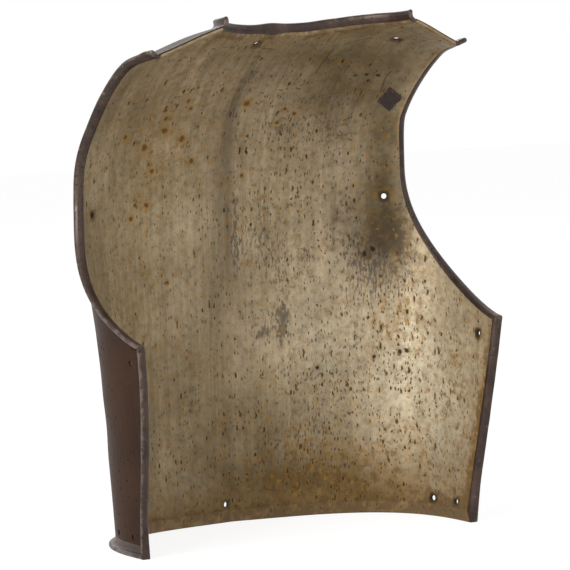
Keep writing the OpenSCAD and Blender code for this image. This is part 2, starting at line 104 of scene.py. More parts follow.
@dataclass(frozen=True)
class PlateForm:
    """Inside of the plate in millimetres: angles run round the section in degrees, t runs up the ridge."""

    ridge_depths: tuple[float, ...] = (116.5, 126.0, 130.0, 116.0, 54.0, -19.0)
    ridge_rises: tuple[float, ...] = (172.0, 125.0, 59.0, 64.0, 22.0)
    half_widths: tuple[float, ...] = (161.0, 175.0, 196.0, 190.0, 189.0, 178.0)
    squares: tuple[float, ...] = (2.8, 3.3, 3.3, 3.3, 3.3, 3.3)
    section_depths: tuple[float, ...] = (112.0, 139.0, 130.0, 130.0, 130.0, 130.0)
    crease_h: float = 6.0
    crease_w: float = 40.0
    crease_round: float = 4.0
    side_h: float = 174.0
    arm_run: float = 158.0
    arm_cut: float = 0.81
    arm_full: float = 3.25
    arm_flat: float = 0.8
    neck_drop: float = 86.0
    neck_end_drop: float = 10.0
    neck_half_w: float = 96.0
    neck_round: float = 2.0
    neck_share: float = 0.6
    shoulder_drop: float = 28.0
    shoulder_hollow: float = 3.8
    hollow_half_w: float = 150.0
    hollow_power: float = 4.0
    waist_lip_h: float = 10.0
    plate_t: float = 3.2
    angle_step: float = 0.2
    rise_step: float = 0.5
    table_rows: int = 132
    table_cols: int = 181

    @cached_property
    def ridge(self) -> Array:
        """Gives the ridge's stations as rows of depth and height."""
        return np.column_stack([self.ridge_depths, np.cumsum([0.0, *self.ridge_rises])])

    @cached_property
    def stations(self) -> Array:
        """Gives the distance up the ridge to each station."""
        return np.concatenate([[0.0], np.cumsum(np.linalg.norm(np.diff(self.ridge, axis=0), axis=1))])

    @property
    def crown_t(self) -> float:
        """Gives the length of the ridge line."""
        return float(self.stations[-1])

    @property
    def neck_t(self) -> float:
        """Gives the place of the neck opening's middle."""
        return self.crown_t - self.neck_drop

    @property
    def neck_end_t(self) -> float:
        """Gives the place of the neck opening's ends."""
        return self.crown_t - self.neck_end_drop

    @property
    def shoulder_t(self) -> float:
        """Gives the place of the shoulders' outer corners."""
        return self.crown_t - self.shoulder_drop

    @property
    def arm_end_t(self) -> float:
        """Gives the place where the armhole stops curving."""
        return self.side_h + self.arm_run

    def along(self, values: Array, t: Array) -> Array:
        """Reads a smooth curve through one value for each station.

        Args:
            values: One value, or one row of values, for each station.
            t: Distances up the ridge.

        Returns:
            The curve's value at each distance.
        """
        values = np.asarray(values, dtype=float)
        t = np.asarray(t, dtype=float)
        last = len(self.stations) - 1
        low = np.maximum(np.arange(last + 1) - 1, 0)
        high = np.minimum(np.arange(last + 1) + 1, last)
        run = self.stations[high] - self.stations[low]
        slopes = (values[high] - values[low]) / (run[:, None] if values.ndim == 2 else run)
        k = np.clip(np.searchsorted(self.stations, t, side="right") - 1, 0, last - 1)
        h = self.stations[k + 1] - self.stations[k]
        s = (t - self.stations[k]) / h
        if values.ndim == 2:
            h, s = h[..., None], s[..., None]
        return (
            (2 * s**3 - 3 * s**2 + 1) * values[k] + (s**3 - 2 * s**2 + s) * h * slopes[k]
            + (3 * s**2 - 2 * s**3) * values[k + 1] + (s**3 - s**2) * h * slopes[k + 1]
        )

    def lean(self, t: Array) -> Array:
        """Gives the backward lean of the ridge in radians, never forward."""
        d = self.along(self.ridge, t + self.rise_step) - self.along(self.ridge, t - self.rise_step)
        return np.maximum(0.0, np.arctan2(-d[..., 0], d[..., 1]))

    def hollow(self, x: Array, t: Array) -> Array:
        """Gives the depth of the shoulders' hollow, which grows from the yoke to the crown.

        Args:
            x: Distances across from the ridge.
            t: Distances up the ridge.

        Returns:
            The depths.
        """
        risen = smooth((t - self.stations[-3]) / (self.crown_t - self.stations[-3]))
        across = np.minimum(1.0, x / self.hollow_half_w)
        return self.shoulder_hollow * risen * np.sin(math.pi * across**self.hollow_power)

    def inside(self, angle: Array, t: Array) -> Array:
        """Places points on the inside of the plate.

        Args:
            angle: Degrees round the section, 0 at the ridge and 90 at the side edge.
            t: Distances up the ridge.

        Returns:
            Points, in millimetres, before the plate is centred from front to back.
        """
        angle, t = np.broadcast_arrays(np.asarray(angle, dtype=float), np.asarray(t, dtype=float))
        n = self.along(self.squares, t)
        sine, cosine = np.sin(np.radians(angle)), np.cos(np.radians(angle))
        reach = (np.abs(sine) ** n + np.abs(cosine) ** n) ** (1.0 / n)
        x = self.along(self.half_widths, t) * sine / reach
        fore = cosine / reach
        off_ridge = np.sqrt(x**2 + self.crease_round**2) - self.crease_round
        crease = self.crease_h * (1.0 - np.exp(-off_ridge / self.crease_w)) * fore
        drop = self.along(self.section_depths, t) * (1.0 - fore) + crease + self.hollow(np.abs(x), t)
        p = self.along(self.ridge, t)
        tilt = self.lean(t)
        return np.stack([x, -(p[..., 0] - drop * np.cos(tilt)), p[..., 1] - drop * np.sin(tilt)], axis=-1)

    def moves(self, angle: Array, t: Array) -> tuple[Array, Array]:
        """Measures how points of the inside move over two small steps.

        Args:
            angle: Degrees round the section.
            t: Distances up the ridge.

        Returns:
            How they move round the section, and how they move up the ridge.
        """
        round_it = self.inside(angle + self.angle_step, t) - self.inside(angle - self.angle_step, t)
        return round_it, self.inside(angle, t + self.rise_step) - self.inside(angle, t - self.rise_step)

    def outward(self, angle: Array, t: Array) -> Array:
        """Gives the unit normals that point out of the plate, to its front."""
        return unit(np.cross(*self.moves(angle, t)))

    def angle_at_x(self, x: Array, t: Array) -> Array:
        """Gives the angle of the point that lies across at x.

        Args:
            x: Distances across, below zero on the wearer's right.
            t: Distances up the ridge.

        Returns:
            Degrees round the section.
        """
        n = self.along(self.squares, t)
        across = np.minimum(1.0, np.abs(x) / self.along(self.half_widths, t))
        return np.sign(x) * np.degrees(np.arctan2(across, (1.0 - across**n) ** (1.0 / n)))

    def angle_at_fore(self, fore: Array, t: Array) -> Array:
        """Gives the angle of the point that is forward of the side edge by a share of the depth."""
        n = self.along(self.squares, t)
        return np.degrees(np.arctan2((1.0 - fore**n) ** (1.0 / n), fore))

    def angle_from_edge(self, distance: float, t: float) -> float:
        """Gives the angle of the point that is forward of the side edge by a distance."""
        return float(self.angle_at_fore(distance / self.along(self.section_depths, t), t))

    def edge_angle(self, t: Array) -> Array:
        """Gives the angle at which the side edge or the armhole ends the section."""
        left = np.clip((self.arm_end_t - t) / self.arm_run, 0.0, 1.0)
        return self.angle_at_fore(self.arm_cut * (1.0 - left**self.arm_full) ** self.arm_flat, t)

    def edge_x(self, t: Array) -> Array:
        """Gives how far across the edge of the plate lies."""
        return self.inside(self.edge_angle(t), t)[..., 0]

    def top_edge(self, share: Array) -> tuple[Array, Array]:
        """Follows the neck opening and the shoulder cut.

        Args:
            share: Shares of the way from the ridge to the armhole.

        Returns:
            How far across, and how far up the ridge, the top edge lies at each share.
        """
        turn = np.radians(90.0 * np.minimum(share / self.neck_share, 1.0))
        k = np.clip((share - self.neck_share) / (1.0 - self.neck_share), 0.0, 1.0)
        power = 2 / self.neck_round
        neck_x = self.neck_half_w * np.sin(turn) ** power
        neck_t = self.neck_end_t + (self.neck_t - self.neck_end_t) * np.maximum(np.cos(turn), 0.0) ** power
        cut_x = self.neck_half_w + (float(self.edge_x(self.shoulder_t)) - self.neck_half_w) * k
        cut_t = self.neck_end_t + (self.shoulder_t - self.neck_end_t) * k
        on_neck = share <= self.neck_share
        return np.where(on_neck, neck_x, cut_x), np.where(on_neck, neck_t, cut_t)

    @cached_property
    def arc_lengths(self) -> Array:
        """Measures round the section from the ridge.

        Returns:
            Distances, in rows of about 4 mm up the ridge and columns of half a degree.
        """
        rows = np.linspace(0.0, self.crown_t, self.table_rows)
        points = self.inside(np.linspace(0.0, 90.0, self.table_cols)[None, :], rows[:, None])
        steps = np.linalg.norm(np.diff(points, axis=1), axis=2)
        return np.concatenate([np.zeros((len(rows), 1)), np.cumsum(steps, axis=1)], axis=1)

    def plate_place(self, angle: Array, t: Array) -> Array:
        """Unrolls points of the plate to a flat sheet.

        Args:
            angle: Degrees round the section.
            t: Distances up the ridge.

        Returns:
            Millimetres round the section from the ridge, and millimetres up the ridge.
        """
        table = self.arc_lengths
        row = np.clip(t / self.crown_t, 0.0, 1.0) * (table.shape[0] - 1.001)
        col = np.clip(np.abs(angle) / 90.0, 0.0, 1.0) * (table.shape[1] - 1.001)
        j, i = row.astype(int), col.astype(int)
        y, x = row - j, col - i
        low = table[j, i] * (1 - x) + table[j, i + 1] * x
        high = table[j + 1, i] * (1 - x) + table[j + 1, i + 1] * x
        return np.stack([np.sign(angle) * (low * (1 - y) + high * y), t], axis=-1)

    def place_at_x(self, x: float, t: float) -> Array:
        """Unrolls the point that lies across at x."""
        return self.plate_place(self.angle_at_x(np.array(x), np.array(t)), np.array(t))


@dataclass
class PlateGrid:
    """Fine net of points on both faces of the plate, which the shell and the lips share."""

    form: PlateForm
    keep_back: float = 0.01
    half_cols: int = 84
    side_rows: int = 58
    arm_rows: int = 60
    breast_rows: int = 18
    yoke_rows: int = 32
    arm_row_power: float = 1.3
    dent_depth: float = 0.35
    dent_fade: float = 26.0
    waves: int = 14
    wave_lengths: tuple[float, float] = (38.0, 110.0)
    wave_sum: float = 5.0
    seed: int = 7
    angle: Array = field(init=False)
    t: Array = field(init=False)
    inner: Array = field(init=False)
    normal: Array = field(init=False)
    outer: Array = field(init=False)
    dent: Array = field(init=False)
    shift: Array = field(init=False)
    edge: dict[str, Array] = field(init=False)

    def __post_init__(self) -> None:
        """Lays the net out and dents it slightly, as a hammered plate is."""
        form = self.form
        self.angle, self.t = self._places()
        self.normal = form.outward(self.angle, self.t)
        self.normal[0, :, 2] = 0.0
        self.normal = unit(self.normal)
        smooth_inner = form.inside(self.angle, self.t)
        front = float((smooth_inner + form.plate_t * self.normal)[..., 1].min())
        self.shift = np.array([0.0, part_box("breast_shell")[0].y / MM - front + self.keep_back, 0.0])
        smooth_inner += self.shift
        self.edge = self._edge_distances(smooth_inner)
        nearest = np.minimum.reduce(list(self.edge.values()))
        self.dent = self._waves() * smooth(nearest / self.dent_fade) * self.dent_depth
        self.inner = smooth_inner + self.dent[..., None] * self.normal
        self.outer = self.inner + form.plate_t * self.normal

    @property
    def rows(self) -> int:
        """Gives the number of the top row."""
        return self.t.shape[0] - 1

    @property
    def cols(self) -> int:
        """Gives the number of the last column."""
        return 2 * self.half_cols

    @property
    def neck_cols(self) -> int:
        """Gives how many columns on each side of the ridge end in the neck opening."""
        return round(self.half_cols * self.form.neck_share)

    @property
    def neck_ends(self) -> tuple[int, int]:
        """Gives the first and the last column of the neck opening."""
        return self.half_cols - self.neck_cols, self.half_cols + self.neck_cols

    def edge_col(self, side: Side) -> int:
        """Gives the column that runs up the edge on one side."""
        return self.cols if side is Side.LEFT else 0

    def _places(self) -> tuple[Array, Array]:
        """Spreads the net: level rows up to the yoke, then rows that fan out to the top edge.

        Returns:
            The angle and the distance up the ridge of each point.
        """
        form = self.form
        yoke_t = (form.arm_end_t + form.neck_t) / 2
        risen = (np.arange(1, self.arm_rows + 1) / self.arm_rows) ** self.arm_row_power
        level = np.concatenate([
            np.linspace(form.waist_lip_h, form.side_h, self.side_rows + 1), form.side_h + form.arm_run * risen,
            np.linspace(form.arm_end_t, yoke_t, self.breast_rows + 1)[1:],
        ])
        share = np.arange(-self.half_cols, self.half_cols + 1) / self.half_cols
        low_angle = share[None, :] * form.edge_angle(level)[:, None]
        low_t = np.repeat(level[:, None], len(share), axis=1)
        up = (np.arange(1, self.yoke_rows + 1) / self.yoke_rows)[:, None]
        top_x, top_t = form.top_edge(np.abs(share))
        t = yoke_t + (top_t[None, :] - yoke_t) * up
        low_x = form.inside(np.abs(share) * form.edge_angle(yoke_t), yoke_t)[..., 0] / form.edge_x(yoke_t)
        x = (low_x + (top_x / form.edge_x(top_t) - low_x) * up) * form.edge_x(t)
        angle = form.angle_at_x(np.sign(share)[None, :] * x, t)
        for col, sign in ((0, -1.0), (-1, 1.0)):
            angle[:, col] = sign * form.edge_angle(t[:, col])
        return np.concatenate([low_angle, angle]), np.concatenate([low_t, t])

    def _edge_distances(self, points: Array) -> dict[str, Array]:
        """Measures how far each point of the net is from each kind of edge.

        Args:
            points: The net's points.

        Returns:
            Distances, by the name of the edge.
        """
        first, final = self.neck_ends
        low, high = points[: self.side_rows + 1], points[self.side_rows :]
        rim = {
            "waist": points[0],
            "side": np.concatenate([low[:, 0], low[:, -1]]),
            "arm": np.concatenate([high[:, 0], high[:, -1]]),
            "neck": points[-1, first : final + 1],
            "shoulder": np.concatenate([points[-1, : first + 1], points[-1, final:]]),
        }
        return {
            name: np.stack([np.sqrt(((row[:, None] - line[None]) ** 2).sum(-1)).min(axis=1) for row in points])
            for name, line in rim.items()
        }

    def _waves(self) -> Array:
        """Adds up a few long waves over the unrolled plate.

        Returns:
            Their height at each point of the net, between about -1 and 1.
        """
        rng = np.random.default_rng(self.seed)
        place = self.form.plate_place(self.angle, self.t)
        total = np.zeros(self.t.shape)
        for _ in range(self.waves):
            length = rng.uniform(*self.wave_lengths)
            heading = rng.uniform(0.0, math.pi)
            phase = rng.uniform(0.0, 2 * math.pi)
            along = place[..., 0] * math.cos(heading) + place[..., 1] * math.sin(heading)
            total += np.sin(along * 2 * math.pi / length + phase)
        return total / self.wave_sum


@dataclass
class MeshDraft:
    """Points, faces and what each point knows, gathered before a mesh is made of them."""

    points: list[Array] = field(default_factory=list)
    normals: list[Array] = field(default_factory=list)
    places: list[Array] = field(default_factory=list)
    knows: dict[str, list[Array]] = field(default_factory=dict)
    faces: list[list[int]] = field(default_factory=list)
    flat: list[bool] = field(default_factory=list)
    count: int = 0

    def add_points(self, points: Array, normals: Array, places: Array, **knows: Array | float) -> Array:
        """Adds points.

        Args:
            points: Points in millimetres; any shape with 3 parts last.
            normals: The surface's normal at each.
            places: Two flat coordinates for each, in millimetres, for brushing and wear.
            **knows: Further values for each point, by name.

        Returns:
            The new points' numbers, in the shape of the points.
        """
        shape = points.shape[:-1]
        size = int(np.prod(shape))
        self.points.append(points.reshape(-1, 3))
        self.normals.append(np.broadcast_to(normals, points.shape).reshape(-1, 3))
        self.places.append(np.broadcast_to(places, (*shape, 2)).reshape(-1, 2))
        for name in sorted(set(self.knows) | set(knows)):
            known = self.knows.setdefault(name, [np.zeros(self.count)] if self.count else [])
            known.append(np.broadcast_to(np.asarray(knows.get(name, 0.0), dtype=float), shape).reshape(-1))
        numbers = np.arange(self.count, self.count + size).reshape(shape)
        self.count += size
        return numbers

    def add_faces(self, faces: Array | list[list[int]], flat: bool = False) -> None:
        """Adds faces.

        Args:
            faces: The numbers of each face's points.
            flat: Whether the faces keep their own normal.
        """
        listed = faces.tolist() if isinstance(faces, np.ndarray) else faces
        self.faces.extend(listed)
        self.flat.extend([flat] * len(listed))

    def add_net(self, numbers: Array, keep: Array | None = None, flat: bool = False) -> None:
        """Adds the square faces of a net of points.

        Args:
            numbers: The net's point numbers, in rows.
            keep: Which squares are there; all of them where it is None.
            flat: Whether the faces keep their own normal.
        """
        squares = np.stack([numbers[:-1, :-1], numbers[:-1, 1:], numbers[1:, 1:], numbers[1:, :-1]], axis=-1)
        self.add_faces(squares[keep] if keep is not None else squares.reshape(-1, 4), flat)

    def to_object(self, name: str, material: bpy.types.Material) -> bpy.types.Object:
        """Makes the object, with its normals, flat coordinates and point values.

        Args:
            name: The object's name.
            material: Its finish.

        Returns:
            The object, linked to the scene.
        """
        mesh = bpy.data.meshes.new(name)
        mesh.from_pydata((np.concatenate(self.points) * MM).tolist(), [], self.faces)
        shell = bmesh.new()
        shell.from_mesh(mesh)
        bmesh.ops.recalc_face_normals(shell, faces=shell.faces)
        shell.to_mesh(mesh)
        shell.free()
        corners = np.zeros(len(mesh.loops), dtype=np.int32)
        mesh.loops.foreach_get("vertex_index", corners)
        sizes = np.zeros(len(mesh.polygons), dtype=np.int32)
        mesh.polygons.foreach_get("loop_total", sizes)
        face_normals = np.zeros(len(mesh.polygons) * 3, dtype=np.float32)
        mesh.polygons.foreach_get("normal", face_normals)
        of_face = np.repeat(np.arange(len(sizes)), sizes)
        normals = unit(np.concatenate(self.normals))[corners]
        flat = np.asarray(self.flat)[of_face]
        normals[flat] = face_normals.reshape(-1, 3)[of_face][flat]
        flat_places = np.concatenate(self.places)[corners] * MM
        mesh.uv_layers.new(name="Plate").data.foreach_set("uv", flat_places.astype(np.float32).reshape(-1))
        for known, values in self.knows.items():
            attribute = mesh.attributes.new(known, "FLOAT", "POINT")
            attribute.data.foreach_set("value", np.concatenate(values).astype(np.float32))
        mesh.polygons.foreach_set("use_smooth", np.ones(len(mesh.polygons), dtype=bool))
        mesh.normals_split_custom_set(normals.tolist())
        mesh.materials.append(material)
        made = bpy.data.objects.new(name, mesh)
        bpy.context.scene.collection.objects.link(made)
        return made


@dataclass(frozen=True)
class SoftOval:
    """A soft oval on the inside, either a stain or painted light and shade: where it is, how far it reaches, and
    how strong it is.
    """

    x: float
    t: float
    wide: float
    high: float
    strength: float


@dataclass(frozen=True)
class Mark:
    """A small mark on the inside, from one place to another: a spot where they are the same."""

    x: float
    t: float
    radius: float
    to_x: float | None = None
    to_t: float | None = None

    def ends(self, form: PlateForm) -> list[tuple[float, float, float]]:
        """Gives the mark's two ends.

        Args:
            form: The plate's form.

        Returns:
            Places on the unrolled plate, in metres.
        """
        final = (self.x, self.t) if self.to_x is None else (self.to_x, self.to_t)
        found = [form.place_at_x(*place) * MM for place in ((self.x, self.t), final)]
        return [(float(place[0]), float(place[1]), 0.0) for place in found]


@dataclass(frozen=True)
class PunchedHole:
    """A hole through the plate, by its angle round the section and its distance up the ridge."""

    name: str
    angle: float
    t: float
    across: float
    rim_round: float
    rust: float


RIM_RUST = {
    "right_armhole": 1.0, "left_armhole": 0.45, "right_side": 0.8, "right_waist_inner": 0.8,
    "right_waist_outer": 0.6, "neck": 0.5, "shoulder": 0.35,
}
PLAIN_RIM_RUST = 0.2


@dataclass
class Holes:
    """The eleven punched holes and their distances from the edges."""

    form: PlateForm
    across: float = 4.7
    rim_round: float = 0.45
    top_across: float = 6.0
    top_rim_round: float = 1.2
    clear: float = 1.7
    waist_h: float = 15.5
    waist_outer: float = 17.0
    waist_inner: float = 46.0
    waist_middle: float = 8.0
    side_drop: float = 13.0
    side_fore: float = 18.0
    arm_rise: float = 97.0
    arm_in: float = 13.5
    neck_drop: float = 9.0
    neck_side: float = 9.0
    shoulder_side: float = 18.0
    shoulder_drop: float = 59.0

    def places(self) -> list[PunchedHole]:
        """Lists the holes.

        Returns:
            Each hole, with its place on the plate.
        """
        form = self.form
        arm_t = form.side_h + self.arm_rise
        side_t = form.side_h - self.side_drop
        neck_t = form.neck_t - self.neck_drop
        shoulder_t = form.neck_end_t - self.shoulder_drop
        pairs = {
            "waist_outer": (form.angle_from_edge(self.waist_outer, self.waist_h), self.waist_h),
            "waist_inner": (form.angle_from_edge(self.waist_inner, self.waist_h), self.waist_h),
            "side": (form.angle_from_edge(self.side_fore, side_t), side_t),
            "armhole": (float(form.angle_at_x(form.edge_x(arm_t) - self.arm_in, arm_t)), arm_t),
        }
        found = [
            self._hole(f"{side.name.lower()}_{name}", side.value * angle, t, self.across, self.rim_round)
            for name, (angle, t) in pairs.items() for side in Side
        ]
        middle = float(form.angle_at_x(self.waist_middle, self.waist_h))
        found.append(self._hole("waist_middle", middle, self.waist_h, self.across, self.rim_round))
        singles = {
            "neck": (self.neck_side, neck_t),
            "shoulder": (-form.neck_half_w - self.shoulder_side, shoulder_t),
        }
        return found + [
            self._hole(name, float(form.angle_at_x(x, t)), t, self.top_across, self.top_rim_round)
            for name, (x, t) in singles.items()
        ]

    def _hole(self, name: str, angle: float, t: float, across: float, rim_round: float) -> PunchedHole:
        """Makes one hole, with the rust that its rim has."""
        return PunchedHole(name, angle, t, across, rim_round, RIM_RUST.get(name, PLAIN_RIM_RUST))


@dataclass
class Weather:
    """Soft stains and painted light and shade, rusty rims and the nearness of edges, as values between about 0
    and 1.
    """

    grid: PlateGrid
    holes: Holes
    stains_and_painted_light: dict[str, tuple[SoftOval, ...]]
    edge_reach: float = 7.0
    waist_reach: float = 14.0
    rim_reach: float = 6.5

    @cached_property
    def on_grid(self) -> dict[str, Array]:
        """Gives the values at every point of the net."""
        grid = self.grid
        return self.values(grid.form.plate_place(grid.angle, grid.t), grid.edge)

    def values(self, places: Array, edge: dict[str, Array]) -> dict[str, Array]:
        """Works the values out.

        Args:
            places: Flat coordinates of the points.
            edge: Distances from each kind of edge, at the same points.

        Returns:
            Values for each point, by name.
        """
        form = self.grid.form
        found = {}
        for name, stains_and_painted_light in self.stains_and_painted_light.items():
            found[name] = np.zeros(places.shape[:-1])
            for soft_oval in stains_and_painted_light:
                found[name] += self._oval(places - form.place_at_x(soft_oval.x, soft_oval.t), soft_oval)
        rims = []
        for hole in self.holes.places():
            off = places - form.plate_place(np.array(hole.angle), np.array(hole.t))
            rims.append(hole.rust * np.exp(-((off**2).sum(-1)) / self.rim_reach**2))
        top = np.minimum(edge["neck"], edge["shoulder"])
        near = {"side": edge["side"], "arm": edge["arm"], "neck": top}
        return {
            **found, "sheet_x": places[..., 0] * MM, "sheet_y": places[..., 1] * MM, "rim": sum(rims),
            "near_waist": np.exp(-edge["waist"] / self.waist_reach),
            **{f"near_{name}": np.exp(-far / self.edge_reach) for name, far in near.items()},
        }

    def _oval(self, off: Array, soft_oval: SoftOval) -> Array:
        """Gives the strength of one soft oval at offsets from its middle."""
        far = (off[..., 0] / soft_oval.wide) ** 2 + (off[..., 1] / soft_oval.high) ** 2
        return soft_oval.strength * np.exp(-far)


@dataclass
class BreastShell:
    """The domed plate with its medial ridge, its holes and its cut shoulder edges."""

    grid: PlateGrid
    holes: Holes
    weather: Weather
    cut_round: float = 0.5
    cut_rust: float = 0.3
    no_edge: float = 20.0
    draft: MeshDraft = field(default_factory=MeshDraft)
    back: Array = field(init=False)
    front: Array = field(init=False)
    keep: Array = field(init=False)

    def build(self, material: bpy.types.Material) -> bpy.types.Object:
        """Makes the shell.

        Args:
            material: The plate's finish.

        Returns:
            The shell's object.
        """
        grid = self.grid
        places = grid.form.plate_place(grid.angle, grid.t)
        inner, outer = grid.inner.copy(), grid.outer.copy()
        self._round_cut(inner, outer)
        self.back = self.draft.add_points(inner, -grid.normal, places, inner=1.0, **self.weather.on_grid)
        self.front = self.draft.add_points(outer, grid.normal, places, inner=0.0, **self.weather.on_grid)
        self.keep = np.ones((grid.rows, grid.cols), dtype=bool)
        for hole in self.holes.places():
            self._punch(hole)
        self.draft.add_net(self.back[:, ::-1], self.keep[:, ::-1])
        self.draft.add_net(self.front, self.keep)
        self._close_edges()
        return self.draft.to_object("plate_shell", material)

    def _cut_columns(self) -> list[range]:
        """Gives the two runs of columns whose top edge is cut plain, from armhole to neck."""
        first, final = self.grid.neck_ends
        return [range(first + 1), range(final, self.grid.cols + 1)]

    def _round_cut(self, inner: Array, outer: Array) -> None:
        """Draws the cut edge's corners back, apart from its ends, so that its arrises can be round.

        Args:
            inner: Points of the inside, which are moved.
            outer: Points of the outside, which are moved.
        """
        for columns in self._cut_columns():
            for i in list(columns)[1:-1]:
                down = unit(self.grid.inner[-2, i] - self.grid.inner[-1, i]) * self.cut_round
                inner[-1, i] += down
                outer[-1, i] += down

    def _close_edges(self) -> None:
        """Joins the two faces along every edge of the plate."""
        first, final = self.grid.neck_ends
        for edge in (np.s_[0], np.s_[:, 0], np.s_[:, -1], np.s_[-1, first : final + 1]):
            self.draft.add_net(np.stack([self.back[edge], self.front[edge]]), flat=True)
        for columns in self._cut_columns():
            self._round_edge(list(columns))

    def _round_edge(self, columns: list[int]) -> None:
        """Closes one cut shoulder edge with slightly rounded arrises.

        Args:
            columns: The edge's columns.
        """
        grid, r, plate_t = self.grid, self.cut_round, self.grid.form.plate_t
        bow = r * (1.0 - math.sqrt(0.5))
        # How far out and up, the normal's parts that way, and the share of the inside's finish
        profile = (
            (-bow, bow, 0.7, -0.7, 1.0), (0.0, r, 1.0, 0.0, 1.0),
            (0.0, plate_t - r, 1.0, 0.0, 0.35), (-bow, plate_t - bow, 0.7, 0.7, 0.0),
        )
        inside = columns[1:-1]
        root, up = grid.inner[-1, inside], grid.normal[-1, inside]
        out = unit(root - grid.inner[-2, inside])
        places = grid.form.plate_place(grid.angle[-1, inside], grid.t[-1, inside])
        rows = []
        for o, u, no, nu, inner in profile:
            points, normals = root + o * out + u * up, unit(no * out + nu * up)
            rows.append(self.draft.add_points(points, normals, places, inner=inner, near_neck=self.cut_rust))
        net = np.stack([self.back[-1, inside], *rows, self.front[-1, inside]])
        self.draft.add_net(net)
        for end, near in ((columns[0], 0), (columns[-1], -1)):
            b, f, line = int(self.back[-1, end]), int(self.front[-1, end]), net[:, near].tolist()
            self.draft.add_faces([[b, *line[:2]], [b, *line[1:3]], [b, *line[2:4], f]])
            self.draft.add_faces([[f, *line[3:5]], [f, *line[4:]]])

    def _clear(self, hole: PunchedHole, centre: Array, nearest: Place) -> list[Place]:
        """Takes the squares round one hole out of the net.

        Args:
            hole: The hole.
            centre: Its middle on the inside.
            nearest: Row and column of the net's point that is nearest to it.

        Returns:
            Row and column of each point round the gap, in order.
        """
        need = hole.across / 2 + hole.rim_round + self.holes.clear
        j0, i0 = nearest

        def reach(up: int, right: int) -> int:
            """Counts the steps over the net that lead clear of the hole.

            Args:
                up: Rows up for each step.
                right: Columns onward for each step.

            Returns:
                The number of steps.
            """
            steps = 1
            while j0 + up * steps > 0:
                if np.linalg.norm(self.grid.inner[j0 + up * steps, i0 + right * steps] - centre) >= need:
                    break
                steps += 1
            return steps

        j1, j2, i1, i2 = j0 - reach(-1, 0), j0 + reach(1, 0), i0 - reach(0, -1), i0 + reach(0, 1)
        self.keep[j1:j2, i1:i2] = False
        return (
            [(j1, i) for i in range(i1, i2)] + [(j, i2) for j in range(j1, j2)]
            + [(j2, i) for i in range(i2, i1, -1)] + [(j, i1) for j in range(j2, j1, -1)]
        )

    def _punch(self, hole: PunchedHole) -> None:
        """Opens one hole: takes squares out of the net and fills in round a worn bore.

        Args:
            hole: The hole.
        """
        form, grid = self.grid.form, self.grid
        centre = form.inside(hole.angle, hole.t) + grid.shift
        nearest = np.unravel_index(int(((grid.inner - centre) ** 2).sum(-1).argmin()), grid.t.shape)
        walk = self._clear(hole, centre, nearest)
        round_it = unit(form.moves(hole.angle, hole.t)[0])
        up_it = np.cross(form.outward(np.array(hole.angle), np.array(hole.t)), round_it)
        offsets = np.array([grid.inner[place] - centre for place in walk])
        turns = np.unwrap(np.arctan2(offsets @ up_it, offsets @ round_it))
        between = (turns + np.roll(turns, -1)) / 2
        between[-1] = (turns[-1] + turns[0] + 2 * math.pi) / 2
        around = np.stack([turns, between], axis=1).reshape(-1)
        toward = np.cos(around)[:, None] * round_it + np.sin(around)[:, None] * up_it
        rings = self._bore_rings(hole, toward, float(grid.dent[nearest]))
        for face, numbers in (("back", self.back), ("front", self.front)):
            rim = [int(numbers[place]) for place in walk]
            ring = rings[face][0].tolist()
            for m, (here, onward) in enumerate(zip(rim, [*rim[1:], rim[0]], strict=True)):
                a, b, c = ring[2 * m], ring[2 * m + 1], ring[(2 * m + 2) % len(ring)]
                self.draft.add_faces([[here, b, a], [here, onward, b], [onward, c, b]])
        wall = [*rings["back"], *rings["front"][::-1]]
        self.draft.add_net(np.stack([np.append(ring, ring[0]) for ring in wall]))

    def _bore_rings(self, hole: PunchedHole, toward: Array, dent: float) -> dict[str, list[Array]]:
        """Makes the rings of a bore's worn rims, on both faces of the plate.

        Args:
            hole: The hole.
            toward: Directions from the hole's middle, in the plate.
            dent: How far the plate is dented there.

        Returns:
            The rings' point numbers for each face, from the plate inward.
        """
        form, shift, e = self.grid.form, self.grid.shift, hole.rim_round
        round_it, up_it = form.moves(hole.angle, hole.t)
        slopes = [round_it / (2 * form.angle_step), up_it / (2 * form.rise_step)]
        solve = np.linalg.pinv(np.stack(slopes, axis=1))
        rings: dict[str, list[Array]] = {"back": [], "front": []}
        for turn in np.array([0.0, 0.5, 1.0]) * math.pi / 2:
            radius, depth = hole.across / 2 + e - e * math.sin(turn), e - e * math.cos(turn)
            moved = (solve @ (toward * radius).T).T
            angle, t = hole.angle + moved[:, 0], hole.t + moved[:, 1]
            up = form.outward(angle, t)
            on_face = form.inside(angle, t) + shift + dent * up
            places = form.plate_place(angle, t)
            knows = self.weather.values(places, dict.fromkeys(self.grid.edge, np.full(len(t), self.no_edge)))
            faces = {"back": (depth, -1.0, 1.0), "front": (form.plate_t - depth, 1.0, 0.0)}
            for face, (deep, sign, inner) in faces.items():
                normals = unit(sign * up * math.cos(turn) - toward * math.sin(turn))
                points = on_face + deep * up
                rings[face].append(self.draft.add_points(points, normals, places, inner=inner, bore=1.0, **knows))
        return rings


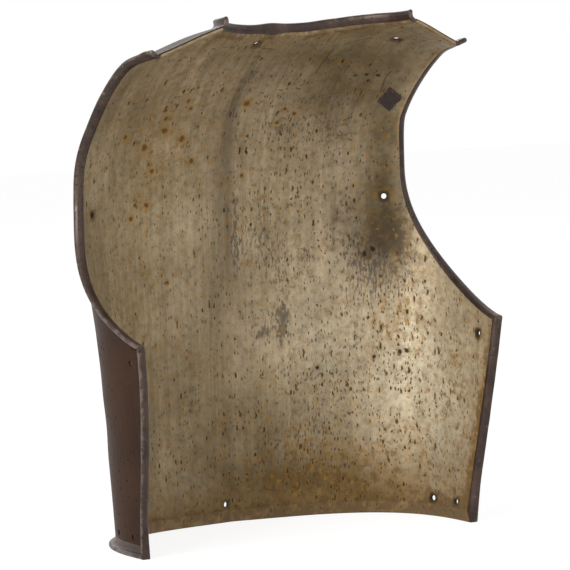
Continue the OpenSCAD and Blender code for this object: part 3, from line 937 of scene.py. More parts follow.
@dataclass(frozen=True)
class TurnedEdge:
    """Section of an edge that is bent outward and thickens to a round tip, in millimetres."""

    turn: float
    bend: float
    flat: float
    tip_t: float
    plate_t: float = 3.2
    bend_steps: int = 10
    tip_steps: int = 12

    def points(self) -> Array:
        """Works the section out, from the inner root round the tip.

        Returns:
            Rows of how far out and how far up.
        """
        turn = math.radians(self.turn)
        radius = self.bend + self.tip_t / 2
        tip = np.array([radius * math.sin(turn), self.plate_t / 2 + radius * (1 - math.cos(turn))])
        tip += (self.flat - self.tip_t / 2) * np.array([math.cos(turn), math.sin(turn)])
        shares = np.linspace(0.0, 1.0, self.bend_steps + 1)
        around = turn - math.pi / 2 + math.pi * np.linspace(0.0, 1.0, self.tip_steps + 1)
        nose = tip + self.tip_t / 2 * np.column_stack([np.cos(around), np.sin(around)])
        back = self._bend(turn, radius, shares[::-1], -1.0)
        return np.concatenate([self._bend(turn, radius, shares, 1.0), nose, back])

    def _bend(self, turn: float, radius: float, share: Array, face: float) -> Array:
        """Follows one face of the bend.

        Args:
            turn: How far the edge turns, in radians.
            radius: The bend's radius at the middle of the thickness.
            share: How far round the bend each point is, from 0 to 1.
            face: 1 for the plate's inside and -1 for its outside.

        Returns:
            Rows of how far out and how far up.
        """
        at = turn * share
        half = (self.plate_t + (self.tip_t - self.plate_t) * share) / 2
        out = radius * np.sin(at) + face * half * np.sin(at)
        up = self.plate_t / 2 + radius * (1 - np.cos(at)) - face * half * np.cos(at)
        return np.column_stack([out, up])


@dataclass(frozen=True)
class FootedEdge:
    """Section of the waist edge: straight inside, flared outside to a foot with a flat sole."""

    height: float = 10.0
    out: float = 5.5
    tip_t: float = 4.2
    heel: float = 0.8
    foot_flat: float = 0.4
    plate_t: float = 3.2
    bend_steps: int = 10
    tip_steps: int = 12
    heel_steps: int = 3

    def points(self) -> Array:
        """Works the section out, from the inner root round the foot.

        Returns:
            Rows of how far down and how far out.
        """
        width = self.plate_t + self.out
        tip_r = self.tip_t / 2
        flare_h = self.height - self.tip_t
        flare_top = width - tip_r - self.foot_flat
        straight = np.linspace(0.0, self.height - self.heel, self.bend_steps - self.heel_steps + 1)
        heel = np.radians(90.0 * np.arange(1, self.heel_steps + 1) / self.heel_steps)
        around = math.pi * np.linspace(0.0, 1.0, self.tip_steps + 1)
        flare = np.radians(90.0 * np.linspace(0.0, 1.0, self.bend_steps + 1))
        heel_down = self.height - self.heel + self.heel * np.sin(heel)
        toe = np.array([self.height - tip_r, width - tip_r])
        return np.concatenate([
            np.column_stack([straight, np.zeros(len(straight))]),
            np.column_stack([heel_down, self.heel - self.heel * np.cos(heel)]),
            toe + tip_r * np.column_stack([np.cos(around), np.sin(around)]),
            np.column_stack([flare_h * np.cos(flare), flare_top - (flare_top - self.plate_t) * np.sin(flare)]),
        ])


@dataclass
class Lip:
    """A stiffened edge of the plate, swept along part of the shell's rim."""

    name: str
    node: str
    grid: PlateGrid
    weather: Weather
    end_round: tuple[float, float] = (0.5, 0.5)
    uneven: float = 0.03
    seed: int = 1
    bare_reach: float = 0.8
    waves: int = 5
    wave_lengths: tuple[float, float] = (14.0, 60.0)
    crest_wide: float = 5.0
    end_turns: tuple[float, ...] = (0.0, 30.0, 60.0, 90.0)
    # How much of the crest's painted highlight and wear a rounded end takes
    end_highlight_and_wear: float = 0.8

    @property
    def span(self) -> Span:
        """Gives the part of the net that the lip stands on."""
        raise NotImplementedError

    def rings(self) -> tuple[Array, Array]:
        """Gives the lip's rings of points and the plate's normal at the root of each."""
        raise NotImplementedError

    def beyond(self) -> tuple[float, float]:
        """Gives the direction in which the unrolled plate runs on over the lip."""
        raise NotImplementedError

    def bare(self, around: Array, run: Array) -> Array:
        """Gives how much of the inside's bare finish runs on over the lip.

        Args:
            around: Distance round the section from the inner root, for each ring.
            run: Distance along the lip, for each ring; not used here.

        Returns:
            A share for each point.
        """
        return np.exp(-((around / self.bare_reach) ** 2))

    def build(self, material: bpy.types.Material) -> bpy.types.Object:
        """Makes the lip.

        Args:
            material: The lips' finish.

        Returns:
            The lip's object.
        """
        rings, ups = self.rings()
        run = np.concatenate([[0.0], np.cumsum(np.linalg.norm(np.diff(rings[:, 0], axis=0), axis=1))])
        self._wobble(rings, run)
        steps = np.linalg.norm(np.diff(rings, axis=1), axis=2)
        around = np.concatenate([np.zeros((len(rings), 1)), np.cumsum(steps, axis=1)], axis=1)
        places = np.stack([np.broadcast_to(run[:, None], around.shape), around], axis=-1)
        arrays = {"points": rings, "normals": self._normals(rings, ups), "places": places}
        arrays.update(self._knows(around, run))
        held = {name: list(values) for name, values in arrays.items()}
        for end, radius in zip((0, -1), self.end_round, strict=True):
            if radius > 0:
                self._round_end(held, end, radius)
        draft = MeshDraft()
        numbers = draft.add_points(**{name: np.stack(values) for name, values in held.items()})
        draft.add_net(numbers)
        draft.add_net(np.stack([numbers[:, -1], numbers[:, 0]], axis=1), flat=True)
        for ring in (numbers[0].tolist(), numbers[-1].tolist()):
            m = len(ring)
            cap = [[ring[k], ring[k + 1], ring[m - 2 - k], ring[m - 1 - k]] for k in range((m - 1) // 2)]
            draft.add_faces([list(dict.fromkeys(face)) for face in cap], flat=True)
        return draft.to_object(self.name, material)

    def _knows(self, around: Array, run: Array) -> dict[str, Array]:
        """Gives what each point of the lip knows.

        Args:
            around: Distance round the section from the inner root, for each point.
            run: Distance along the lip, for each ring.

        Returns:
            Values for each point, by name.
        """
        count = around.shape[1]
        roots = {name: values[self.span] for name, values in self.weather.on_grid.items()}
        knows = {name: np.repeat(values[:, None], count, axis=1) for name, values in roots.items()}
        for name, share in zip(("sheet_x", "sheet_y"), self.beyond(), strict=True):
            knows[name] = knows[name] + share * around * MM
        crest = np.exp(-(((np.arange(count) - count // 2) / self.crest_wide) ** 2))
        return {**knows, "bare": self.bare(around, run), "crest": np.broadcast_to(crest, around.shape)}

    def _wobble(self, rings: Array, run: Array) -> None:
        """Makes the lip slightly uneven in height, as hammered work is.

        Args:
            rings: The lip's rings, which are moved.
            run: Distance along the lip, for each ring.
        """
        rng = np.random.default_rng(self.seed)
        wave = sum(
            np.sin(run * 2 * math.pi / rng.uniform(*self.wave_lengths) + rng.uniform(0.0, 2 * math.pi))
            for _ in range(self.waves)
        ) / self.waves
        keep = 1.0 - self.uneven * (0.5 + 0.5 * wave)
        keep[0] = keep[-1] = 1.0
        root = (rings[:, 0] + rings[:, -1]) / 2
        tip = rings[:, rings.shape[1] // 2] - root
        far = np.einsum("nmk,nk->nm", rings - root[:, None], unit(tip)) / np.linalg.norm(tip, axis=1)[:, None]
        rings += tip[:, None] * ((keep - 1.0)[:, None] * np.clip(far, 0.0, 1.0) ** 2)[..., None]

    def _normals(self, rings: Array, ups: Array) -> Array:
        """Works out the lip's normals, and gives its roots the plate's own.

        Args:
            rings: The lip's rings.
            ups: The plate's normal at the root of each.

        Returns:
            A normal for each point.
        """
        normals = unit(np.cross(np.gradient(rings, axis=1), np.gradient(rings, axis=0)))
        if float((normals[:, 2] * -ups).sum(-1).mean()) < 0:
            normals = -normals
        normals[:, 0], normals[:, -1] = -ups, ups
        return normals

    def _round_end(self, held: dict[str, list[Array]], end: int, radius: float) -> None:
        """Replaces a lip's last ring by a few that round its end off.

        Args:
            held: What the rings hold, by name, with one entry for each ring.
            end: Which ring: 0 for the first and -1 for the last.
            radius: The radius of the rounding.
        """
        last, side = held["points"][end], held["normals"][end]
        onward = unit(last - held["points"][1 if end == 0 else -2])
        turns = np.radians(self.end_turns[::-1] if end == 0 else self.end_turns)
        sines, cosines = np.sin(turns)[:, None, None], np.cos(turns)[:, None, None]
        made = {name: [values[end]] * len(turns) for name, values in held.items()}
        made["points"] = list(last - onward * radius * (1.0 - sines) - side * radius * (1.0 - cosines))
        made["normals"] = list(unit(side * cosines + onward * sines))
        # Rounded ends take the crest's painted highlight and wear
        made["crest"] = [np.maximum(held["crest"][end], self.end_highlight_and_wear)] * len(turns)
        made["bare"] = [np.zeros(len(last))] * len(turns)
        for name, values in held.items():
            values[slice(0, 1) if end == 0 else slice(-1, None)] = made[name]


def ring_of(root: Array, out: Array, up: Array, section: Array) -> Array:
    """Sets sections on roots.

    Args:
        root: The roots, one row each.
        out: Directions out of the edge, one row each.
        up: The plate's normals there.
        section: One section for all roots, or one for each.

    Returns:
        The points of each ring.
    """
    section = np.broadcast_to(section, (len(root), *section.shape[-2:]))
    return root[:, None] + section[..., :1] * out[:, None] + section[..., 1:] * up[:, None]


def runs_of(line: Array) -> Array:
    """Gives the unit direction along a line of points at each of them.

    Args:
        line: The points, one row each.

    Returns:
        The directions, one row each.
    """
    ahead = np.concatenate([line[1:], line[-1:]])
    behind = np.concatenate([line[:1], line[:-1]])
    return unit(ahead - behind)


@dataclass
class EdgeLip(Lip):
    """A lip beside the armhole or the side edge, on one of the wearer's sides."""

    side: Side = Side.LEFT
    corner_gap: float = 1.0

    def _rows(self, first: int, final: int) -> Span:
        """Gives rows first to final of the edge."""
        return np.s_[first : final + 1, self.grid.edge_col(self.side)]

    def _line(self, span: Span) -> tuple[Array, Array, Array, Array]:
        """Follows part of the edge.

        Args:
            span: Which part of the net.

        Returns:
            Roots, the plate's normals, the edge's direction and the direction out of it, at each row.
        """
        root, up = self.grid.inner[span], self.grid.normal[span]
        run = runs_of(root)
        return root, up, run, self.side.value * unit(np.cross(run, up))

    def beyond(self) -> tuple[float, float]:
        """Runs on outward from the side."""
        return float(self.side.value), 0.0

    def _mitre(self, reach: float) -> float:
        """Gives the skew that closes the corner between side and armhole lips down to its slit.

        Args:
            reach: How far the lip stands out.

        Returns:
            The skew for each millimetre outward.
        """
        corner = self.grid.side_rows
        below, above = self._line(self._rows(0, corner)), self._line(self._rows(corner, self.grid.rows))
        turned = math.acos(float(np.clip(below[3][-1] @ above[3][0], -1.0, 1.0)))
        return math.tan(turned / 2) - self.corner_gap / 2 / reach


@dataclass
class SideLip(EdgeLip):
    """Turned edge of one side, from the waist lip's mitre up to the armhole."""

    section: TurnedEdge = TurnedEdge(turn=90.0, bend=1.0, flat=3.6, tip_t=4.0)
    foot: FootedEdge = FootedEdge()
    blend_h: float = 23.4

    @property
    def span(self) -> Span:
        """Gives the side edge."""
        return self._rows(0, self.grid.side_rows)

    def rings(self) -> tuple[Array, Array]:
        """Gives the side lip's rings, which grow out of the waist lip's section.

        Returns:
            The rings, and the plate's normal at the root of each.
        """
        root, up, run, out = self._line(self.span)
        plain, foot = self.section.points(), self.foot.points()
        reach = float(plain[:, 0].max())
        rings = ring_of(root, out, up, plain)
        corner = self.side.value * unit(np.cross([0.0, 0.0, 1.0], up[0])) * reach / self.foot.height
        share = np.clip((root[:, 2] - root[0, 2]) / self.blend_h, 0.0, 1.0)[:, None, None]
        outward = corner + np.array([0.0, 0.0, -1.0])
        footed = root[:, None] + foot[None, :, :1] * outward + foot[None, :, 1:] * up[:, None]
        rings = footed * (1.0 - share) + rings * share
        fade = np.clip((root[:, 2] - root[-1, 2] + self.blend_h) / self.blend_h, 0.0, 1.0)[:, None, None]
        rings = rings + plain[None, :, :1] * (run * self._mitre(reach))[:, None] * fade
        return rings, up


@dataclass
class ArmholeLip(EdgeLip):
    """Turned edge of one armhole, which opens out toward the shoulder."""

    turn: float = 90.0
    bend: float = 1.0
    flat: float = 3.38
    tip_t: float = 4.2
    end_turn: float = 42.0
    end_flat: float = 9.0
    ease: float = 80.0
    corner_run: float = 4.7

    @property
    def span(self) -> Span:
        """Gives the armhole's edge."""
        return self._rows(self.grid.side_rows, self.grid.rows)

    def rings(self) -> tuple[Array, Array]:
        """Gives the armhole lip's rings.

        Returns:
            The rings, and the plate's normal at the root of each.
        """
        grid = self.grid
        root, up, run, out = self._line(self.span)
        share = smooth(1.0 - (grid.form.shoulder_t - grid.t[self.span]) / self.ease)
        sections = np.stack([
            TurnedEdge(
                turn=self.turn + (self.end_turn - self.turn) * s, bend=self.bend,
                flat=self.flat + (self.end_flat - self.flat) * s, tip_t=self.tip_t,
            ).points()
            for s in share
        ])
        rings = ring_of(root, out, up, sections)
        reach = float(sections[0, :, 0].max())
        gone = np.linalg.norm(root - root[0], axis=1)
        fade = np.clip(1.0 - gone / self.corner_run, 0.0, 1.0)[:, None, None]
        rings = rings - sections[..., :1] * (run * self._mitre(reach))[:, None] * fade
        return rings, up


@dataclass
class WaistLip(Lip):
    """Flared foot of the plate, which it stands on."""

    foot: FootedEdge = FootedEdge()
    side_reach: float = 5.0
    corner_share: float = 0.05
    bare_to: float = 9.3
    bare_fade: float = 0.8

    @property
    def span(self) -> Span:
        """Gives the waist edge."""
        return np.s_[0, :]

    def beyond(self) -> tuple[float, float]:
        """Runs on downward."""
        return 0.0, -1.0

    def bare(self, around: Array, run: Array) -> Array:
        """Keeps the inside's finish down to the heel."""
        return 1.0 - smooth((around - self.bare_to) / self.bare_fade)

    def rings(self) -> tuple[Array, Array]:
        """Gives the waist lip's rings, skewed at its ends to meet the side lips.

        Returns:
            The rings, and the plate's normal at the root of each.
        """
        grid = self.grid
        root, up, foot = grid.inner[self.span], grid.normal[self.span], self.foot.points()
        down = np.array([0.0, 0.0, -float(root[:, 2].mean()) / self.foot.height])
        rings = ring_of(root, np.broadcast_to(down, root.shape), up, foot)
        share = np.arange(-grid.half_cols, grid.half_cols + 1) / grid.half_cols
        near_corner = np.clip(1.0 - (1.0 - np.abs(share)) / self.corner_share, 0.0, 1.0)
        skew = self.side_reach / self.foot.height * near_corner
        for col, side in ((0, Side.RIGHT), (-1, Side.LEFT)):
            corner = side.value * unit(np.cross([0.0, 0.0, 1.0], up[col]))
            on_side = (np.sign(share) == side.value)[:, None, None]
            rings = rings + foot[None, :, :1] * corner * skew[:, None, None] * on_side
        return rings, up


@dataclass
class NeckLip(Lip):
    """Turned edge of the neck opening, cut square at its ends."""

    section: TurnedEdge = TurnedEdge(turn=90.0, bend=4.0, flat=2.4, tip_t=4.0)
    bare_to: float = 5.4
    bare_fade: float = 1.6
    # How wide and how deep the dark patina dips at the ridge, painting the crease's shade with it
    ridge_dark: float = 9.0
    ridge_drop: float = 2.6

    @property
    def span(self) -> Span:
        """Gives the neck opening's edge."""
        return np.s_[-1, self.grid.neck_ends[0] : self.grid.neck_ends[1] + 1]

    def beyond(self) -> tuple[float, float]:
        """Runs on upward."""
        return 0.0, 1.0

    def bare(self, around: Array, run: Array) -> Array:
        """Runs the inside's finish up the bend, except where the ridge meets the opening: there the lip's dark
        patina comes lower, and paints the crease's shade with it.
        """
        drop = self.ridge_drop * np.exp(-(((run - run[-1] / 2) / self.ridge_dark) ** 2))[:, None]
        return 1.0 - smooth((around - (self.bare_to - drop) + self.bare_fade / 2) / self.bare_fade)

    def rings(self) -> tuple[Array, Array]:
        """Gives the neck lip's rings.

        Returns:
            The rings, and the plate's normal at the root of each.
        """
        root, up = self.grid.inner[self.span], self.grid.normal[self.span]
        return ring_of(root, unit(np.cross(up, runs_of(root))), up, self.section.points()), up


@dataclass
class InsidePatch:
    """Small scrap of leather glued to the inside beside the right armhole."""

    grid: PlateGrid
    inward: float = 12.0
    rise: float = 42.0
    wide: float = 18.0
    high: float = 29.0
    lean: float = 8.0
    slant: float = 12.0
    thick: float = 1.0
    glue: float = 0.3
    cells: int = 18
    ragged: float = 0.045
    frays: int = 5
    fray_rates: tuple[float, float] = (9.0, 25.0)
    fray_phase: float = 6.3
    fray_sum: float = 3.0
    rim_thin: float = 0.45
    rim_wide: float = 0.12
    worn_wide: float = 0.2
    seed: int = 4

    def build(self, material: bpy.types.Material) -> bpy.types.Object:
        """Makes the patch.

        Args:
            material: The leather.

        Returns:
            The patch's object.
        """
        form = self.grid.form
        rng = np.random.default_rng(self.seed)
        line = np.linspace(0.0, 1.0, self.cells + 1)
        i, j = np.meshgrid(line, line)
        rim = np.minimum(np.minimum(i, 1 - i), np.minimum(j, 1 - j))
        waves = 0.0
        for _ in range(self.frays):
            rates = i * rng.uniform(*self.fray_rates) + j * rng.uniform(*self.fray_rates)
            waves = waves + np.sin(rates + rng.uniform(0, self.fray_phase))
        fray = 1.0 - self.ragged * (1.0 + waves / self.fray_sum)
        up, across = (i + j - 1.0) * fray, (i - j) * fray
        mid_t = form.arm_end_t + self.rise
        mid_x = float(form.edge_x(mid_t)) - self.inward
        t = mid_t + up * self.high / 2 + across * self.slant / 2
        angle = form.angle_at_x(up * self.lean / 2 - mid_x - across * self.wide / 2, t)
        normal = form.outward(angle, t)
        face = form.inside(angle, t) + self.grid.shift
        deep = self.glue + self.thick * (self.rim_thin + (1.0 - self.rim_thin) * smooth(rim / self.rim_wide))
        places = form.plate_place(angle, t)
        draft = MeshDraft()
        glued = draft.add_points(face - self.glue * normal, normal, places)
        worn = 1.0 - smooth(rim / self.worn_wide)
        shown = draft.add_points(face - deep[..., None] * normal, -normal, places, worn=worn)
        draft.add_net(glued)
        draft.add_net(shown)
        for edge in (np.s_[0], np.s_[-1], np.s_[:, 0], np.s_[:, -1]):
            draft.add_net(np.stack([glued[edge], shown[edge]]), flat=True)
        return draft.to_object("leather_patch", material)


@dataclass(frozen=True)
class Value:
    """An output in a node tree, which sums as a number does."""

    wiring: "Wiring"
    socket: Socket

    def __add__(self, other: Number) -> "Value":
        """Adds."""
        return self.wiring.math("ADD", self, other)

    def __sub__(self, other: Number) -> "Value":
        """Subtracts."""
        return self.wiring.math("SUBTRACT", self, other)

    def __mul__(self, other: Number) -> "Value":
        """Multiplies."""
        return self.wiring.math("MULTIPLY", self, other)

    def __truediv__(self, other: Number) -> "Value":
        """Divides."""
        return self.wiring.math("DIVIDE", self, other)

    def most(self, other: Number) -> "Value":
        """Takes the greater of two."""
        return self.wiring.math("MAXIMUM", self, other)

    def held(self) -> "Value":
        """Holds the sum that made this value between 0 and 1."""
        self.socket.node.use_clamp = True
        return self

    def eased(self, low: Number, high: Number, to: tuple[float, float] = (0.0, 1.0)) -> "Value":
        """Eases from one end to the other between two limits."""
        limits = {0: self, 1: low, 2: high, 3: to[0], 4: to[1]}
        return self.wiring.value("MapRange", limits, interpolation_type="SMOOTHSTEP")


@dataclass
class Wiring:
    """Lays nodes in one tree and joins their sockets."""

    tree: bpy.types.NodeTree

    def add(self, kind: str, inputs: Inputs | None = None, **settings: object) -> bpy.types.Node:
        """Adds a node.

        Args:
            kind: The node's type, without ShaderNode before it.
            inputs: Sockets to join to, or plain values, by socket name or number.
            **settings: Further settings of the node.

        Returns:
            The node.
        """
        node = self.tree.nodes.new("ShaderNode" + kind)
        for key, value in settings.items():
            setattr(node, key, value)
        for key, value in (inputs or {}).items():
            self.feed(node.inputs[key], value)
        return node

    def value(self, kind: str, inputs: Inputs | None = None, out: str | int = 0, **settings: object) -> Value:
        """Adds a node and gives one of its outputs."""
        return Value(self, self.add(kind, inputs, **settings).outputs[out])

    def feed(self, socket: Socket, value: object) -> None:
        """Joins a socket to another, or sets its plain value.

        Args:
            socket: The input.
            value: An output, a colour or a number.
        """
        if isinstance(value, (Value, bpy.types.NodeSocket)):
            self.tree.links.new(value.socket if isinstance(value, Value) else value, socket)
        elif isinstance(value, tuple) and len(value) == 3 and socket.type == "RGBA":
            socket.default_value = (*value, 1.0)
        else:
            socket.default_value = value

    def math(self, operation: str, a: Number, b: Number) -> Value:
        """Adds a sum of two values."""
        return self.value("Math", {0: a, 1: b}, operation=operation)

    def vector(self, operation: str, a: Value, b: object, out: str = "Vector") -> Value:
        """Adds a sum of vectors; a scale takes a number."""
        second = "Scale" if operation == "SCALE" else 1
        return self.value("VectorMath", {0: a, second: b}, out, operation=operation)

    def mix(self, share: Number, a: Value | Colour, b: Value | Colour, blend: str = "MIX") -> Value:
        """Mixes two colours."""
        inputs = {0: share, 6: a, 7: b}
        return self.value("Mix", inputs, 2, data_type="RGBA", blend_type=blend, clamp_factor=True)

    def pick(self, share: Value, a: Value, b: Value) -> Value:
        """Mixes two values."""
        return self.value("Mix", {0: share, 2: a, 3: b}, data_type="FLOAT")

    def noise(self, vector: Value, scale: Number, detail: float = 3.0, rough: float = 0.55) -> Value:
        """Adds cloudy noise."""
        return self.value("TexNoise", {"Vector": vector, "Scale": scale, "Detail": detail, "Roughness": rough})

    def known(self, name: str) -> Value:
        """Reads a value that the mesh holds for each point."""
        return self.value("Attribute", out="Fac", attribute_name=name)

    def solid(self) -> Value:
        """Reads the place in space, in metres."""
        return self.value("TexCoord", out="Object")

    def flat(self) -> Value:
        """Reads the place on the unrolled plate, in metres."""
        return self.value("UVMap", uv_map="Plate")

    def scaled(self, vector: Value, across: float, along: float, deep: float = 1.0) -> Value:
        """Stretches a vector."""
        return self.vector("MULTIPLY", vector, (across, along, deep))

    def ragged(self, vector: Value, at: Value, far: Number) -> Value:
        """Moves places about a little, so that outlines drawn from them are torn.

        Args:
            vector: The places.
            at: Where the noise that moves them is read.
            far: How far they move.

        Returns:
            The moved places.
        """
        wander = self.value("TexNoise", {"Vector": at, "Scale": TORN_PER_METRE, "Detail": 2.0}, "Color")
        centred = self.vector("SUBTRACT", wander, (0.5, 0.5, 0.5))
        return self.vector("ADD", vector, self.vector("SCALE", centred, far))

    def group(self, tree: bpy.types.NodeTree, inputs: dict[str, object]) -> dict[str, Value]:
        """Places a shared effect.

        Args:
            tree: The effect.
            inputs: What it is given, by name.

        Returns:
            Its outputs, by name.
        """
        node = self.add("Group", inputs, node_tree=tree)
        return {output.name: Value(self, output) for output in node.outputs}


class Effect:
    """A node group while its nodes are laid."""

    def __init__(self, name: str, inputs: dict[str, float | None]) -> None:
        """Starts the group.

        Args:
            name: The group's name.
            inputs: The starting value of each input, None for a vector.
        """
        self.tree = bpy.data.node_groups.new(name, "ShaderNodeTree")
        self.w = Wiring(self.tree)
        for key, start in inputs.items():
            kind = "NodeSocketVector" if start is None else "NodeSocketFloat"
            socket = self.tree.interface.new_socket(name=key, in_out="INPUT", socket_type=kind)
            if start is not None:
                socket.default_value = start
        node = self.tree.nodes.new("NodeGroupInput")
        self.given = {key: Value(self.w, node.outputs[key]) for key in inputs}

    def end(self, outputs: dict[str, Value]) -> bpy.types.NodeTree:
        """Closes the group.

        Args:
            outputs: What it puts out: values, but for the one named Colour.

        Returns:
            The group.
        """
        for key in outputs:
            kind = "NodeSocketColor" if key == "Colour" else "NodeSocketFloat"
            self.tree.interface.new_socket(name=key, in_out="OUTPUT", socket_type=kind)
        node = self.tree.nodes.new("NodeGroupOutput")
        for key, value in outputs.items():
            self.w.feed(node.inputs[key], value)
        return self.tree


@dataclass(frozen=True)
class BareColours:
    """Colours of the inside, where the steel was brushed and has aged, and of the light and shade painted on it.
    """

    light: Colour = (0.450, 0.354, 0.224)
    dark: Colour = (0.305, 0.236, 0.138)
    # Painted highlight of the lower right flank
    pale: Colour = (0.660, 0.580, 0.420)
    olive: Colour = (0.080, 0.056, 0.024)
    # Painted bluish sheen and shade of the ridge crease, also laid beside the right armhole
    violet: Colour = (0.130, 0.108, 0.088)
    slate: Colour = (0.078, 0.062, 0.054)
    grime: Colour = (0.066, 0.047, 0.028)
    ochre: Colour = (0.300, 0.165, 0.042)
    # Painted highlight along the right armhole's rim
    rim_highlight_orange: Colour = (0.520, 0.300, 0.140)
    rust: Colour = (0.095, 0.042, 0.016)
    brown: Colour = (0.128, 0.082, 0.038)
    pit_brown: Colour = (0.080, 0.050, 0.026)
    pit: Colour = (0.024, 0.018, 0.013)


@dataclass
class SharedEffects:
    """Node groups that more than one finish uses, and the parts of them."""

    form: PlateForm
    marks: dict[str, tuple[Mark, ...]]
    colours: BareColours = BareColours()

    @cached_property
    def specks(self) -> bpy.types.NodeTree:
        """Round ragged specks of many sizes: a mask, a wide halo and a random value for each.

        Returns:
            The group.
        """
        starts = {"Vector": None, "Per metre": 120.0, "Radius": 0.3, "Share": 0.5, "Ragged": 0.002}
        effect = Effect("Specks", starts)
        w, given = effect.w, effect.given
        vector = w.ragged(given["Vector"], given["Vector"], given["Ragged"])
        cells = w.add("TexVoronoi", {"Vector": vector, "Scale": given["Per metre"]}, voronoi_dimensions="2D")
        parts = w.add("SeparateColor", {0: cells.outputs["Color"]}).outputs
        lot, size, random = (Value(w, parts[k]) for k in range(3))
        there = w.math("LESS_THAN", lot, given["Share"])
        radius = given["Radius"] * size.eased(0.0, 1.0, (0.35, 1.0))
        away = Value(w, cells.outputs["Distance"])
        mask, halo = away.eased(radius, radius * 0.55), away.eased(radius * 2.6, radius * 0.5)
        return effect.end({"Mask": mask * there, "Halo": halo * there, "Random": random})

    @cached_property
    def brushing(self) -> bpy.types.NodeTree:
        """Fine streaks along one direction: a value from 0 to 1.

        Returns:
            The group.
        """
        effect = Effect("Brushing", {"Vector": None, "Fine": 1.0})
        w, fine = effect.w, effect.given["Fine"]
        narrow = w.noise(w.scaled(effect.given["Vector"], 900.0, 14.0), 1.0, 2.0, 0.6)
        broad = w.noise(w.scaled(effect.given["Vector"], 230.0, 6.0), 1.0, 2.0, 0.5)
        return effect.end({"Streaks": (narrow * fine + broad) / (fine + 1.0)})

    @cached_property
    def bloom(self) -> bpy.types.NodeTree:
        """Cloudy patches with torn edges, where a bias lets them grow: a mask and a softer one.

        Returns:
            The group.
        """
        effect = Effect("Bloom", {"Vector": None, "Per metre": 40.0, "Bias": 0.0, "Limit": 0.6, "Soft": 0.1})
        w, given = effect.w, effect.given
        level = w.noise(given["Vector"], given["Per metre"], 6.0, 0.66) + given["Bias"]
        limit, high = given["Limit"], given["Limit"] + given["Soft"]
        low = limit - given["Soft"] * 1.5
        return effect.end({"Mask": level.eased(limit, high), "Wide": level.eased(low, high)})

    @cached_property
    def mark(self) -> bpy.types.NodeTree:
        """One spot or scratch between two places: a mask and a wide halo.

        Returns:
            The group.
        """
        effect = Effect("Mark", {"Vector": None, "From": None, "To": None, "Radius": 0.002})
        w, given, radius = effect.w, effect.given, effect.given["Radius"]
        off = w.vector("SUBTRACT", given["Vector"], given["From"])
        run = w.vector("SUBTRACT", given["To"], given["From"])
        along, square = (w.vector("DOT_PRODUCT", part, run, "Value") for part in (off, run))
        share = (along / square).held()
        far = w.vector("DISTANCE", off, w.vector("SCALE", run, share), "Value")
        mask, halo = far.eased(radius, radius * 0.45), far.eased(radius * 2.4, radius * 0.6)
        return effect.end({"Mask": mask, "Halo": halo})

    def lay_specks(
        self, w: Wiring, vector: Value, per_metre: float, radius: float, share: Number, ragged: float
    ) -> dict[str, Value]:
        """Places specks in a tree."""
        inputs = {"Vector": vector, "Per metre": per_metre, "Radius": radius, "Share": share, "Ragged": ragged}
        return w.group(self.specks, inputs)

    def lay_bloom(
        self, w: Wiring, vector: Value, per_metre: float, bias: Number, limit: float, soft: float
    ) -> dict[str, Value]:
        """Places cloudy patches in a tree."""
        inputs = {"Vector": vector, "Per metre": per_metre, "Bias": bias, "Limit": limit, "Soft": soft}
        return w.group(self.bloom, inputs)

    def lay_brushing(self, w: Wiring, vector: Value, fine: float) -> Value:
        """Places streaks in a tree."""
        return w.group(self.brushing, {"Vector": vector, "Fine": fine})["Streaks"]

    def _marked(self, w: Wiring, vector: Value, kind: str) -> tuple[Value, Value]:
        """Lays all marks of one kind.

        Args:
            w: The wiring of the group that shows them.
            vector: Coordinates on the unrolled plate, in metres.
            kind: The kind's name.

        Returns:
            One mask and one halo for all of them.
        """
        laid = []
        for mark in self.marks[kind]:
            start, end = mark.ends(self.form)
            inputs = {"Vector": vector, "From": start, "To": end, "Radius": mark.radius * MM}
            laid.append(w.group(self.mark, inputs))
        mask, halo = (reduce(Value.most, [one[name] for one in laid]) for name in ("Mask", "Halo"))
        return mask, halo

    def _ground(self, w: Wiring, solid: Value, sheet: Value, streaks: Value) -> Value:
        """Lays the brushed steel's own colour, with its broad streaks.

        Args:
            w: The group's wiring.
            solid: The place in space.
            sheet: The place on the unrolled plate.
            streaks: The brushing.

        Returns:
            The colour.
        """
        broad = w.noise(w.scaled(sheet, 110.0, 7.0), 1.0, 3.0, 0.6).eased(0.3, 0.7, (0.86, 1.08))
        shade = streaks.eased(0.32, 0.68, (0.84, 1.10)) * broad
        grey = w.value("CombineColor", {0: shade, 1: shade, 2: shade})
        steel = w.mix(w.noise(solid, 13.0, 4.0).eased(0.34, 0.66), self.colours.dark, self.colours.light)
        return w.mix(1.0, steel, grey, "MULTIPLY")

    @cached_property
    def bare_steel(self) -> bpy.types.NodeTree:
        """The inside's finish with its painted light and shade, from what each point knows: colour, roughness and
        bump height.

        Returns:
            The group.
        """
        effect = Effect("Bare steel", {"Solid": None})
        w, solid, c = effect.w, effect.given["Solid"], self.colours
        sheet_x, sheet_y, rust, violet, waist, side = (
            w.known(name) for name in ("sheet_x", "sheet_y", "rust", "violet", "near_waist", "near_side"))
        sheet = w.value("CombineXYZ", {0: sheet_x, 1: sheet_y})
        streaks = self.lay_brushing(w, sheet, 0.9)
        tall = w.scaled(sheet, 1.0, 0.42)
        uneven = w.noise(solid, 38.0, 5.0, 0.6).eased(0.25, 0.75, (0.65, 1.35))
        on_right = sheet_x.eased(0.02, -0.02)
